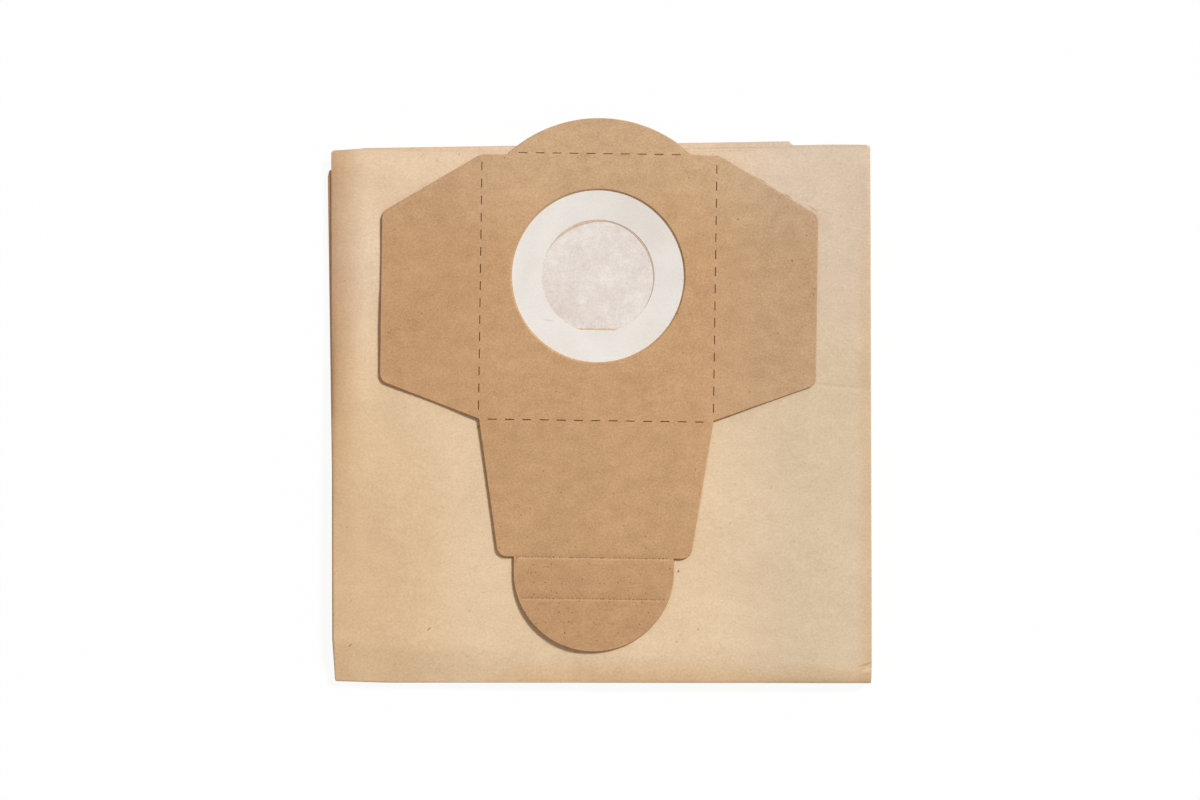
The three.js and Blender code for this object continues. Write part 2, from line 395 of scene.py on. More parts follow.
def oval(tree: bpy.types.NodeTree, vector: Feed, shape: tuple[float, float, float],
         strength: float) -> bpy.types.Node:
    """Draws an oval that fades to nothing at its edge.

    Args:
        tree: the material's tree.
        vector: the node that gives the place from the oval's centre.
        shape: one over the oval's length, width and height, or zero where it has no end.
        strength: the value in the middle.

    Returns:
        The node that gives the strength at the point.
    """
    inputs = {0: vector, 1: [2 * part for part in shape]}
    scaled = add_node(tree, "ShaderNodeVectorMath", inputs, operation="MULTIPLY")
    distance = add_node(tree, "ShaderNodeVectorMath", {0: scaled}, operation="LENGTH")
    value = distance.outputs["Value"]
    inputs = {"Value": value, 1: OVAL_FADES_FROM, 2: 1.0, 3: strength, 4: 0.0}
    return add_node(tree, "ShaderNodeMapRange", inputs)


@dataclass(frozen=True)
class PressedLine:
    """A crease whose fibres have cracked open here and there, with a painted highlight along its
    lower edge.
    """

    across: tuple[float, float]
    offset_mm: float
    start_mm: float
    end_mm: float
    width_mm: float = 0.55
    strength: float = 0.5
    # strength of the painted highlight along the crease's lower edge, below zero to lighten
    lip_highlight: float = -0.16
    crack_mm: float = 1.0
    crack_from: float = 0.47
    crack_full: float = 0.56

    def add(self, tree: bpy.types.NodeTree, position: Feed, total: Feed) -> bpy.types.Node:
        """Darkens the cracks and paints a highlight along the lower edge.

        Args:
            tree: the material's tree.
            position: the point of the surface, in mm.
            total: the brightness so far.

        Returns:
            The node that gives the new brightness.
        """
        place = add_node(tree, "ShaderNodeSeparateXYZ", {0: position})
        x = place.outputs[0]
        middle, half = (self.start_mm + self.end_mm) / 2, (self.end_mm - self.start_mm) / 2
        inputs = {0: x, 1: middle, 2: half}
        within = add_node(tree, "ShaderNodeMath", inputs, operation="COMPARE")
        inputs = {"W": x, "Scale": 1 / self.crack_mm}
        noise = add_node(tree, "ShaderNodeTexNoise", inputs, noise_dimensions="1D")
        inputs = {"Value": noise, 1: self.crack_from, 2: self.crack_full, 3: 0.0, 4: 1.0}
        cracked = add_node(tree, "ShaderNodeMapRange", inputs)
        inputs = {0: cracked, 1: within}
        cracked = add_node(tree, "ShaderNodeMath", inputs, operation="MULTIPLY")
        for shift, depth in ((0.0, self.strength), (-self.width_mm, self.lip_highlight)):
            inputs = {0: position, 1: (*self.across, 0)}
            height = add_node(tree, "ShaderNodeVectorMath", inputs, operation="DOT_PRODUCT")
            inputs = {0: height.outputs["Value"], 1: self.offset_mm + shift}
            away = add_node(tree, "ShaderNodeMath", inputs, operation="SUBTRACT")
            away = add_node(tree, "ShaderNodeMath", {0: away}, operation="ABSOLUTE")
            inputs = {"Value": away, 1: 0.0, 2: self.width_mm, 3: depth, 4: 0.0}
            line = add_node(tree, "ShaderNodeMapRange", inputs)
            inputs = {0: line, 1: cracked if depth > 0 else within}
            line = add_node(tree, "ShaderNodeMath", inputs, operation="MULTIPLY")
            total = add_node(tree, "ShaderNodeMath", {0: total, 1: line}, operation="SUBTRACT")
        return total


@dataclass(frozen=True)
class Tone:
    """A tint that a finish takes on towards one side, over a range of x, of y or of both, in mm."""

    code: str
    x_mm: tuple[float, float] | None = None
    y_mm: tuple[float, float] | None = None

    def add(self, tree: bpy.types.NodeTree, place: bpy.types.Node,
            colour: Feed) -> bpy.types.NodeSocket:
        """Tints the colour so far.

        Args:
            tree: the material's tree.
            place: the node that gives x, y and z of the surface, in mm.
            colour: the colour so far.

        Returns:
            The output that gives the new colour.
        """
        share = 1.0
        for axis, ends in enumerate((self.x_mm, self.y_mm)):
            if ends is None:
                continue
            inputs = {"Value": place.outputs[axis], 1: ends[0], 2: ends[1]}
            ramp = add_node(tree, "ShaderNodeMapRange", inputs, interpolation_type="SMOOTHSTEP")
            share = add_node(tree, "ShaderNodeMath", {0: ramp, 1: share}, operation="MULTIPLY")
        inputs = {0: share, MIX_FIRST: colour, MIX_SECOND: linear_colour(self.code)}
        mixed = add_node(tree, "ShaderNodeMix", inputs, data_type="RGBA", blend_type="MULTIPLY")
        return mixed.outputs[MIX_RESULT]


@dataclass(frozen=True)
class SheetFinish:
    """The finish of a thin sheet: its colours, its variation and its fine relief."""

    name: str
    code: str
    layers: tuple
    tones: tuple[Tone, ...] = ()
    hue_depth: tuple[float, float, float] = (0.8, 1.0, 1.25)
    roughness: float = 0.88
    gloss: float = 0.2
    # fibres are finer than the render shows, so their relief is as coarse as it needs to show
    relief_mm: float = 0.04
    relief_grain_mm: float = 0.6
    relief_detail: float = 3.0
    cut_edge: float = 0.0

    def build(self) -> bpy.types.Material:
        """Returns the material."""
        material = bpy.data.materials.new(self.name)
        material.use_nodes = True
        tree = material.node_tree
        surface = tree.nodes["Principled BSDF"]
        position = position_mm(tree)
        place = add_node(tree, "ShaderNodeSeparateXYZ", {0: position})
        colour = linear_colour(self.code)
        for tone in self.tones:
            colour = tone.add(tree, place, colour)
        light = 0.0
        for layer in self.layers:
            light = layer.add(tree, position, light)
        if self.cut_edge:
            edge = add_node(tree, "ShaderNodeAttribute", attribute_name=EDGE)
            inputs = {0: edge.outputs["Fac"], 1: -self.cut_edge, 2: light}
            light = add_node(tree, "ShaderNodeMath", inputs, operation="MULTIPLY_ADD")
        inputs = {0: light, 1: self.hue_depth, 2: (1, 1, 1)}
        tint = add_node(tree, "ShaderNodeVectorMath", inputs, operation="MULTIPLY_ADD")
        inputs = {0: colour, 1: tint}
        tinted = add_node(tree, "ShaderNodeVectorMath", inputs, operation="MULTIPLY")
        tree.links.new(tinted.outputs[0], surface.inputs["Base Color"])
        grain = 1 / self.relief_grain_mm
        inputs = {"Vector": position, "Scale": grain, "Detail": self.relief_detail}
        fibres = add_node(tree, "ShaderNodeTexNoise", inputs)
        inputs = {"Height": fibres, "Distance": self.relief_mm * MM, "Strength": 1.0}
        bump = add_node(tree, "ShaderNodeBump", inputs)
        tree.links.new(bump.outputs[0], surface.inputs["Normal"])
        surface.inputs["Roughness"].default_value = self.roughness
        surface.inputs["Specular IOR Level"].default_value = self.gloss
        return material


# Unbleached kraft, machine glazed: matt and warm, with soft clouds, and painted shade along its
# left fold and its lower fold
KRAFT_PAPER = SheetFinish(
    name="kraft paper, unbleached",
    code="e5caad",
    tones=(
        Tone("fdfbf1", y_mm=(85, 0)),
        Tone("f4ece4", x_mm=(-48, -100), y_mm=(75, -75)),
        Tone("f2f6fc", x_mm=(40, 95)),
        # painted shade down the left fold, which turns away from the lamp
        Tone("f0e2d5", x_mm=(-106.5, -123.5), y_mm=(-75, 20)),
        Tone("fcfaf9", x_mm=(-108, -121), y_mm=(95, 60)),
        Tone("fcf5ec", x_mm=(117.5, 124), y_mm=(105, 60)),
        Tone("f6f2ec", x_mm=(123.8, 125)),
        # painted shade along the left fold's edge, lower down
        Tone("f3ebe3", x_mm=(-122.6, -123.4), y_mm=(-20, -60)),
        Tone("fdfdfb", x_mm=(-110, -119), y_mm=(5, -25)),
        Tone("fbf9f3", x_mm=(-40, -85), y_mm=(60, 95)),
        # painted shade on the lower fold
        Tone("fff8ee", x_mm=(-70, -30), y_mm=(-119.5, -129)),
    ),
    layers=(
        Grain(46, 0.10),
        Grain(15, 0.13),
        Grain(4, 0.14, stretch=1.5, turn_degrees=8),
        Grain(0.9, 0.42, stretch=1.2, turn_degrees=20, detail=4),
        Flecks(19, 2.2, 0.7, 0.25, 0.25, 3.0),
        Flecks(6, 0.9, 0.6, 0.16, 0.22, 41.0),
        # fibres and specks
        Mark(429, 629, 3.0, 0.9, 45, 0.5),
        Mark(350, 645.5, 2.8, 0.9, 40, 0.5),
        Mark(351, 601, 2.2, 0.8, 75, 0.3),
        Mark(478, 427, 3.2, 0.9, 55, 0.4),
        Mark(459, 154, 1.6, 0.8, 90, 0.45),
        Mark(678.4, 571.5, 1.8, 1.1, 70, 0.8),
        Mark(698, 629.5, 1.3, 1.0, 0, 0.4),
        Mark(676.7, 642, 1.3, 1.0, 0, 0.4),
        # crumpled lower right corner: a painted shadow strip above and a painted highlight below it
        Mark(866, 664.5, 8, 1.5, 14, 0.24),
        Mark(868, 670, 6, 2.6, 14, -0.2),
        # old crease above it: a painted shade line with a painted highlight just below
        Mark(843, 385.5, 34, 1.6, -5, 0.08),
        Mark(843, 389, 34, 1.8, -5, -0.05),
        # painted shade along the lower fold, which turns away from the lamp, and a painted
        # highlight at its left
        Mark(640, 683, 260, 27, -0.7, 0.10),
        Mark(710, 659, 150, 13, 0, 0.05),
        Mark(830, 685, 100, 9, -1.5, 0.09),
        Mark(480, 663, 56, 22, 0, 0.055),
        Mark(350, 634, 24, 8, 0, -0.035),
        # faint lines along the upper edge, and scuffs beside the card
        Mark(735, 160, 75, 40, -20, 0.03),
        Mark(735, 147.6, 66, 0.8, 0.8, 0.10),
        Mark(722, 150.6, 44, 0.8, 1.2, 0.09),
        Mark(760, 179.5, 9, 0.9, -29, 0.3),
        Mark(788, 196, 6, 0.9, -29, 0.25),
        Mark(812, 208, 7, 1.0, -33, 0.25),
        # browned round the inlet
        Mark(597.9, 276.3, 64, 64, 0, 0.39),
    ),
    cut_edge=0.08,
)

# White filter tissue, wet laid: cloudy formation of fibres, quite matt
FILTER_TISSUE = SheetFinish(
    name="filter tissue, wet laid",
    code="e5dad2",
    tones=(
        Tone("f4efec", x_mm=(0, -28), y_mm=(62, 40)),
    ),
    layers=(
        Grain(12, 0.32, detail=4),
        Grain(4.5, 0.28, detail=4),
        Grain(0.9, 0.42, detail=3),
    ),
    hue_depth=(0.7, 1.0, 1.15),
    roughness=0.95,
)

# Kraftboard, die cut: browner than the paper, speckled by short fibres pressed along the sheet
KRAFT_BOARD = SheetFinish(
    name="kraftboard, die cut",
    code="c9a787",
    tones=(
        Tone("faf1e7", y_mm=(118, 62)),
        Tone("fffcf1", x_mm=(90, 40)),
        Tone("fafefe", x_mm=(50, 75)),
        Tone("f9f6f4", x_mm=(-30, -80)),
        Tone("fcfcfb", y_mm=(5, -25)),
        Tone("f9f8f7", y_mm=(-62, -80)),
        Tone("fbf7f5", y_mm=(-60, -125)),
    ),
    layers=(
        Grain(34, 0.18),
        Grain(6.0, 0.34, stretch=1.3, turn_degrees=-8),
        Grain(0.85, 0.70, stretch=1.1, turn_degrees=-8, detail=4),
        Flecks(9, 0.9, 0.7, 0.06, 0.6, 5.0),
        Flecks(5, 0.8, 0.6, 0.16, 0.7, 23.0, y_mm=(-10, -40)),
        Flecks(4.5, 0.8, 0.6, 0.30, 0.7, 31.0, y_mm=(-68, -74)),
        Flecks(6, 2.0, 0.6, 0.30, -0.14, 77.0),
        # specks of the right flap, then scuffs of the round tab
        Mark(738, 219.5, 1.1, 1.0, 0, 0.7),
        Mark(792, 261, 1.3, 0.9, -30, 0.6),
        Mark(814.5, 289, 1.0, 1.0, 0, 0.5),
        Mark(755, 289, 2.0, 1.2, 40, -0.2),
        Mark(705, 154.8, 12, 0.8, -6, -0.22),
        Mark(694, 168, 8, 1.0, 4, -0.10),
        Mark(687, 178, 3, 0.8, 0, -0.12),
    ),
    hue_depth=(0.85, 1.0, 1.15),
    roughness=0.85,
    relief_mm=0.05,
    relief_grain_mm=0.8,
)

# Natural rubber sheet, moulded: pale and matt, with one faint scuff
SEAL_RUBBER = SheetFinish(
    name="natural rubber, moulded",
    code="e6dfd7",
    tones=(
        # painted shade towards the upper right, next to the card's rim
        Tone("fbf9f8", x_mm=(-25, 30), y_mm=(60, 90)),
    ),
    layers=(
        Grain(14, 0.19),
        Grain(0.9, 0.16),
        Mark(548.5, 320.3, 6.5, 0.9, -12, 0.16),
    ),
    roughness=0.6,
    gloss=0.4,
    relief_mm=0.01,
)


@dataclass(frozen=True)
class SideFold:
    """One side fold of the flat tube: how wide, how angular, and how far it sags, in mm."""

    width: float
    power: float
    sag: float

    def curve(self, steps: int, reach: float, rise: float, drop: float) -> np.ndarray:
        """Draws the fold, from the lower side round to the upper one.

        Args:
            steps: how many steps the curve gets.
            reach: how far outwards it goes, in mm.
            rise: how far it goes up from its middle, in mm.
            drop: how far it goes down from its middle, in mm.

        Returns:
            Rows of outwards and up.
        """
        angles = np.linspace(-math.pi / 2, math.pi / 2, steps + 1)
        outwards = np.cos(angles).clip(0) ** (2 / self.power)
        upwards = np.abs(np.sin(angles)) ** (2 / self.power) * np.sign(angles)
        return np.column_stack([reach * outwards, np.where(angles > 0, rise, drop) * upwards])


@dataclass(frozen=True)
class LowerFold:
    """The fold at the bag's lower end: a slope down from the front, then a sharp edge, in mm."""

    places: tuple[float, ...] = (-125.0, -80.0, -50.0, 0.0, 125.0)
    widths: tuple[float, ...] = (17.8, 15.7, 15.0, 12.7, 10.4)
    powers: tuple[float, ...] = (1.0, 1.1, 1.4, 2.0, 2.2)
    slope_left: float = math.tan(math.radians(13))
    slope_right: float = math.tan(math.radians(16))
    edge: float = 0.4
    slope_share: float = 0.62

    def width(self, x: np.ndarray) -> np.ndarray:
        """Returns the fold's width at each x."""
        return np.interp(x, self.places, self.widths)

    def profile(self, x: np.ndarray, share: float, depth: float) -> tuple[np.ndarray, np.ndarray]:
        """Draws half the fold, from the front to the middle of its edge.

        Args:
            x: the places across the bag, in mm.
            share: how much of this half lies behind, from 0 to 1.
            depth: half the fold's thickness, in mm.

        Returns:
            How far out and how far up each place lies, as shares of the width and of the depth.
        """
        width = self.width(x)
        power = np.interp(x, self.places, self.powers)
        slope = np.interp(x, [self.places[0], self.places[-1]], [self.slope_left, self.slope_right])
        run = width - self.edge
        drop = slope * run / power
        if share < self.slope_share:
            out = share / self.slope_share
            return out * run / width, 1 - drop / depth * out ** power
        angle = (share - self.slope_share) / (1 - self.slope_share) * math.pi / 2
        out = (run + self.edge * math.sin(angle)) / width
        return out, (1 - drop / depth) * math.cos(angle)


@dataclass(frozen=True)
class Dent:
    """A soft dip in the front of the packet, placed in the photograph."""

    x_px: float
    y_px: float
    long_mm: float
    short_mm: float
    depth_mm: float
    turn_degrees: float = 0.0

    def depth(self, x: np.ndarray, y: np.ndarray) -> np.ndarray:
        """Works out how deep the dip is.

        Args:
            x: the points' places across, in mm.
            y: the points' places along, in mm.

        Returns:
            The depth at each point, in mm.
        """
        centre_x, centre_y = PHOTO.place(self.x_px, self.y_px)
        c, s = math.cos(math.radians(self.turn_degrees)), math.sin(math.radians(self.turn_degrees))
        along = ((x - centre_x) * c + (y - centre_y) * s) / self.long_mm
        across = ((y - centre_y) * c - (x - centre_x) * s) / self.short_mm
        return self.depth_mm * np.exp(-along ** 2 - across ** 2)


@dataclass(frozen=True)
class TubeSteps:
    """How many steps each stretch of the folded tube's surface has."""

    front: int = 110
    bend: int = 10
    wing: int = 8
    wing_end: int = 6
    front_spacing: float = 2.0
    rear_spacing: float = 4.5
    fold: int = 26
    near_end: tuple[float, ...] = (0, 0.4, 1.0, 2.0, 3.5, 5.5, 8.0, 11.0, 14.0, 17.0)
    least_gap: float = 1.0

    @property
    def run(self) -> int:
        """Points on the outer run of the loop, or on its inner run."""
        return self.front + 2 * self.bend + 2 * self.wing + 1


COARSE_STEPS = TubeSteps(front=50, wing=4, front_spacing=5.0, rear_spacing=9.0)


@dataclass
class FoldedPacket:
    """The flat tube, its wings folded behind and its lower half folded up behind, in mm."""

    seal_x: float
    seal_y: float
    seal_from_middle: tuple[float, float] = (-1.3, 64.0)
    # the tube, its glued ends and the wings behind it
    width: float = 249.6
    height: float = 247.0
    tube: float = 2.0
    seam: float = 0.8
    wing_gap: float = 0.5
    halves_gap: float = 0.5
    wings_apart: float = 8.0
    end_closes_over: float = 16.0
    end_drop: float = 0.8
    # its side folds, soft at the upper left only
    left_fold: SideFold = SideFold(15.0, 1.4, 1.2)
    left_fold_below: SideFold = SideFold(1.6, 3.5, 0.0)
    right_fold: SideFold = SideFold(1.6, 3.5, 0.0)
    left_fold_sharpens: tuple[float, float] = (60.0, 195.0)
    inner_fold_share: float = 0.5
    # the lower fold, pulled in at its left corner and out at its right one
    lower_fold: LowerFold = LowerFold()
    lower_fold_nesting: float = 0.35
    lower_overhang: float = 0.75
    fold_line_slope: float = -0.0070
    lower_left_tuck: float = 1.25
    lower_left_tuck_length: float = 2.0
    lower_left_narrowing: float = 0.5
    lower_left_eases: tuple[float, float] = (10.0, 60.0)
    lower_left_curl: float = 0.7
    curl_grows: tuple[float, float] = (95.0, 125.0)
    lower_right_flare: float = 0.7
    # the front half's end, whose layers fan out at the right
    front_end_slope: float = 0.0085
    front_end_sag: float = 0.8
    front_left_bump: float = 0.8
    bump_rises: tuple[float, float] = (84.0, 104.0)
    bump_falls: tuple[float, float] = (108.0, 124.0)
    front_corner: float = 1.4
    front_layers_fan: float = 1.2
    fan_opens: tuple[float, float] = (0.0, 30.0)
    fan_closes: tuple[float, float] = (105.0, 122.0)
    fan_closes_by: float = 0.4
    # the rear half, folded up a little askew, with its chamfered corners
    rear_turn: float = math.radians(0.8)
    rear_narrowing: float = 1.3
    rear_narrows_over: float = 40.0
    rear_overhang: float = 2.3
    rear_end_slope: float = 0.002
    rear_left_chamfer: tuple[float, float] = (16.0, 11.3)
    rear_right_chamfer: tuple[float, float] = (32.5, 32.5)
    rear_layers_fan: float = 0.6
    # level round the seal, where the walls behind are pressed up against the front one
    flat_round_seal: float = 52.0
    flat_fades_over: float = 25.0
    flat_at_end: tuple[float, float] = (2.0, 20.0)
    risen_below_inlet: float = 1.4
    risen_fades: tuple[float, float] = (30.0, 60.0)
    risen_from_depth: float = 1.5
    inlet_cut: float = 0.125
    # soft waves and dents of the front wall, which the lining follows loosely
    wave_depth: float = 0.6
    wave_count: int = 14
    wave_lengths: tuple[float, float] = (28.0, 95.0)
    wave_softness: float = 2.5
    wave_seed: int = 7
    lining_dent_wider: float = 2.0
    lining_dent_deeper: float = 1.25
    dents: tuple[Dent, ...] = (
        # the paper gives way under the left flap and under the tongue
        Dent(386, 350, 30, 12, 0.6, 90),
        Dent(530, 630, 30, 20, 0.6, -40),
        # crumpled lower right corner
        Dent(866, 662, 7, 2.6, 0.4, 10),
        # old crease above it
        Dent(850, 386, 16, 1.8, 0.2, -4),
    )
    waves: list = field(init=False, default_factory=list)

    def __post_init__(self) -> None:
        """Draws the soft waves of the paper."""
        draw = np.random.default_rng(self.wave_seed)
        for _ in range(self.wave_count):
            heading = draw.uniform(0, 2 * math.pi)
            length = draw.uniform(*self.wave_lengths)
            phase = draw.uniform(0, 2 * math.pi)
            self.waves.append((heading, length, phase))

    def lining(self) -> "FoldedPacket":
        """Returns the packet as its inner faces follow it, a little wider and deeper in dips."""
        dents = []
        for dent in self.dents:
            short = dent.short_mm + self.lining_dent_wider
            depth = self.lining_dent_deeper * dent.depth_mm
            dents.append(replace(dent, short_mm=short, depth_mm=depth))
        return replace(self, dents=tuple(dents))

    @property
    def centre_x(self) -> float:
        """Middle of the packet across."""
        return self.seal_x - self.seal_from_middle[0]

    @property
    def centre_y(self) -> float:
        """Middle of the packet along."""
        return self.seal_y - self.seal_from_middle[1]

    @property
    def folded(self) -> float:
        """Thickness of one half, with its wings."""
        return 2 * self.tube + self.wing_gap

    @property
    def thickness(self) -> float:
        """Thickness of the whole packet."""
        return 2 * self.folded + self.halves_gap

    @property
    def axis_drop(self) -> float:
        """Depth of the axis that the lower half folds about."""
        return self.folded + self.halves_gap / 2

    @property
    def fold_length(self) -> float:
        """Length of paper in the lower fold."""
        return math.pi * self.axis_drop

    @property
    def length(self) -> float:
        """Length of the developed bag."""
        return 2 * self.height + self.rear_overhang + self.fold_length

    def left_fold_at(self, along: float) -> SideFold:
        """Works out the left side fold, which is wide and soft above and sharp below.

        Args:
            along: distance along the developed bag, in mm.

        Returns:
            The fold at that distance.
        """
        share = float(smoothstep(along, *self.left_fold_sharpens))
        ends = zip(astuple(self.left_fold), astuple(self.left_fold_below))
        return SideFold(*(above + (below - above) * share for above, below in ends))

    def turned(self, along: float) -> float:
        """Returns how much of the lower fold is behind a place along the bag."""
        return float(np.clip((along - self.height) / self.fold_length, 0, 1))

    def side_reach(self, is_left: bool, along: float) -> float:
        """Works out how far a side fold stands from the middle of the packet.

        Args:
            is_left: whether it is the left one.
            along: distance along the developed bag, in mm.

        Returns:
            The distance, in mm.
        """
        half = self.width / 2
        corner = self.front_corner * (1 - min(along / self.front_corner, 1.0)) ** 2
        folded = self.height + self.fold_length / 2
        tuck = smoothstep(along, self.height - self.lower_left_tuck_length, folded)
        flare = min(along / self.height, 1.0)
        skew = self.lower_right_flare * flare
        if is_left:
            skew = -self.lower_left_narrowing * flare - self.lower_left_tuck * tuck
        across, length = self.rear_left_chamfer if is_left else self.rear_right_chamfer
        share = float(np.clip(1 - (self.length - along) / length, 0, 1))
        cut = across * (math.sin(share * math.pi / 2) if is_left else share)
        front = half - corner + skew
        from_fold = along - self.height - self.fold_length
        tucked = self.lower_left_tuck + self.lower_left_narrowing if is_left else 0.0
        tucked = tucked * (1 - smoothstep(from_fold, *self.lower_left_eases))
        narrower = self.rear_narrowing * smoothstep(from_fold, 0, self.rear_narrows_over)
        rear = half - narrower - cut - tucked
        return float(front + (rear - front) * self.turned(along))

    def section(self, along: float, inset: float, steps: TubeSteps) -> np.ndarray:
        """Draws the loop across the tube.

        Args:
            along: distance along the developed bag, in mm.
            inset: how far inside the outer face the loop lies, in mm.
            steps: how many steps each stretch gets.

        Returns:
            Rows of across and depth: the outer run, then the inner run, with the wing ends between.
        """
        from_end = min(along, self.length - along)
        shut = 1 - float(smoothstep(from_end, 0.0, self.end_closes_over))
        thin = (self.tube - self.seam) / 2 * shut
        front = -thin - self.end_drop * shut
        back = -self.tube + thin - self.end_drop * shut
        wing_top = -self.tube - self.wing_gap - thin
        wing_low = -self.folded + thin
        half = self.width / 2
        wing_end = self.wings_apart / 2 + self.tube / 2
        runs = []
        for is_outer in (True, False):
            top, low = back + inset, wing_top - inset
            if is_outer:
                top, low = front - inset, wing_low + inset
            bends = []
            for side in (self.left_fold_at(along), self.right_fold):
                middle = (top + low) / 2
                reach = side.width * self.inner_fold_share + inset
                if is_outer:
                    middle = middle - side.sag * (1 - shut)
                    reach = side.width - inset
                curve = side.curve(steps.bend, reach, top - middle, middle - low)
                bends.append(curve + (half - side.width, middle))
            left_bend, right_bend = bends[0] * (-1, 1), bends[1][::-1]
            flat = level_points(left_bend[-1][0], right_bend[0][0], top, steps.front)
            left_wing = level_points(-wing_end, left_bend[0][0], low, steps.wing)
            right_wing = level_points(right_bend[-1][0], wing_end, low, steps.wing)
            parts = [left_wing[:-1], left_bend[:-1], flat[:-1], right_bend[:-1], right_wing]
            runs.append(np.concatenate(parts))
        bulge = (wing_top - wing_low) / 2 - inset
        angles = np.linspace(-math.pi / 2, math.pi / 2, steps.wing_end + 1)[1:-1]
        right_end = np.column_stack([
            wing_end - bulge * np.cos(angles),
            (wing_top + wing_low) / 2 + bulge * np.sin(angles),
        ])
        left_end = right_end[::-1] * (-1, 1)
        return np.concatenate([runs[0], right_end, runs[1][::-1], left_end])

    def sink(self, x: np.ndarray, y: np.ndarray) -> np.ndarray:
        """Works out how far the front wall lies below its level place.

        Args:
            x: the points' places across, in mm.
            y: the points' places along, in mm.

        Returns:
            The depth at each point, in mm.
        """
        total = np.zeros_like(x)
        for heading, length, phase in self.waves:
            run = x * math.cos(heading) + y * math.sin(heading)
            total = total + np.sin(2 * math.pi * run / length + phase)
        soft = self.wave_depth * (0.5 + 0.5 * np.tanh(total / self.wave_softness))
        for dent in self.dents:
            soft = soft + dent.depth(x, y)
        from_seal = np.hypot(x - self.seal_x, y - self.seal_y)
        flat = self.flat_round_seal
        return soft * smoothstep(from_seal, flat, flat + self.flat_fades_over)

    def rise(self, x: np.ndarray, y: np.ndarray) -> np.ndarray:
        """Returns how far the walls behind the inlet stand up towards the front one, in mm."""
        from_seal = np.hypot(x - self.seal_x, y - self.seal_y)
        return self.risen_below_inlet * (1 - smoothstep(from_seal, *self.risen_fades))

    def ends(self, x: np.ndarray, depth: np.ndarray) -> tuple[np.ndarray, np.ndarray]:
        """Works out where the front and the rear end of the tube lie along Y.

        Args:
            x: the points' places across, in mm.
            depth: their depths below the outer face, below zero, in mm.

        Returns:
            Y of the front end and of the rear end at each point, in mm.
        """
        half_width, half_height = self.width / 2, self.height / 2
        layer = np.clip(-depth / self.folded, 0, 1)
        sag = self.front_end_sag * (1 - (x / half_width).clip(-1, 1) ** 2)
        closed = self.fan_closes_by * smoothstep(x, *self.fan_closes)
        fan = smoothstep(x, *self.fan_opens) * (1 - closed)
        bump = self.front_left_bump * smoothstep(-x, *self.bump_rises)
        bump = bump * (1 - smoothstep(-x, *self.bump_falls))
        front = half_height + self.front_end_slope * x - sag + bump
        front = front + self.front_layers_fan * fan * layer
        rear = half_height + self.rear_overhang + self.rear_end_slope * x
        return front, rear - self.rear_layers_fan * layer

    def place(self, loop: np.ndarray, along: float) -> np.ndarray:
        """Carries a loop of the developed bag to its place in the folded packet.

        Args:
            loop: rows of across and depth, in mm.
            along: the loop's distance along the bag, in mm.

        Returns:
            Rows of x, y and z, in mm.
        """
        across, depth = loop[:, 0], loop[:, 1]
        half_width, half_height = self.width / 2, self.height / 2
        left, right = self.side_reach(True, along), self.side_reach(False, along)
        x = across * np.where(across < 0, left, right) / half_width
        front_end, rear_end = self.ends(x, depth)
        fold_width = self.lower_fold.width(x)
        fold_line = -half_height - self.lower_overhang + fold_width + self.fold_line_slope * x
        front_wall = np.clip(1 + depth / self.tube, 0, 1)
        if along <= self.height:
            share = along / self.height
            y = front_end + (fold_line - front_end) * share
            world_x, world_y = x + self.centre_x, y + self.centre_y
            calm = float(smoothstep(along, *self.flat_at_end))
            is_tube = depth > -self.tube - self.wing_gap / 2
            z = self.thickness + depth - self.sink(world_x, world_y) * front_wall * calm
            risen = np.clip(-depth / self.risen_from_depth, 0, 1)
            z = z + self.rise(world_x, world_y) * is_tube * risen
            return np.column_stack([world_x, world_y, z])
        turned = self.turned(along)
        half_turned = 1 - abs(1 - 2 * turned)
        outwards, upwards = self.lower_fold.profile(x, half_turned, self.axis_drop)
        upwards = upwards if turned < 0.5 else -upwards
        behind = self.length - self.height - self.fold_length
        risen = float(np.clip((along - self.height - self.fold_length) / behind, 0, 1))
        curl = self.lower_left_curl * smoothstep(-x, *self.curl_grows)
        nested = fold_width + depth * self.lower_fold_nesting - curl
        y = fold_line + (rear_end - fold_line) * risen - nested * outwards
        pivot = -half_height + self.axis_drop
        turn = self.rear_turn * turned
        world_x = x * math.cos(turn) - (y - pivot) * math.sin(turn) + self.centre_x
        world_y = pivot + x * math.sin(turn) + (y - pivot) * math.cos(turn) + self.centre_y
        z = self.thickness / 2 + (self.axis_drop + depth) * upwards
        z = z - self.sink(world_x, world_y) * front_wall * upwards.clip(0)
        return np.column_stack([world_x, world_y, z])

    def stations(self, end_inset: float, steps: TubeSteps) -> np.ndarray:
        """Chooses where the loops stand, closer together at the ends and in the fold.

        Args:
            end_inset: how far from the tube's ends the first and the last one stand, in mm.
            steps: how finely the face is divided.

        Returns:
            Distances along the developed bag, in mm.
        """
        fold_end = self.height + self.fold_length
        near = np.array(steps.near_end)
        front_end = self.height - steps.least_gap
        front = np.arange(near[-1] + steps.front_spacing, front_end, steps.front_spacing)
        fold = np.linspace(self.height, fold_end, steps.fold + 1)
        rear_end = self.length - near[-1] - steps.least_gap
        rear = np.arange(fold_end + steps.rear_spacing, rear_end, steps.rear_spacing)
        places = np.concatenate([near, front, fold, rear, self.length - near[::-1]])
        inside = places[(places > end_inset) & (places < self.length - end_inset)]
        return np.concatenate([[end_inset], inside, [self.length - end_inset]])


def level_points(start: float, end: float, depth: float, count: int) -> np.ndarray:
    """Returns points on a level line across the bag."""
    return np.column_stack([np.linspace(start, end, count + 1), np.full(count + 1, depth)])


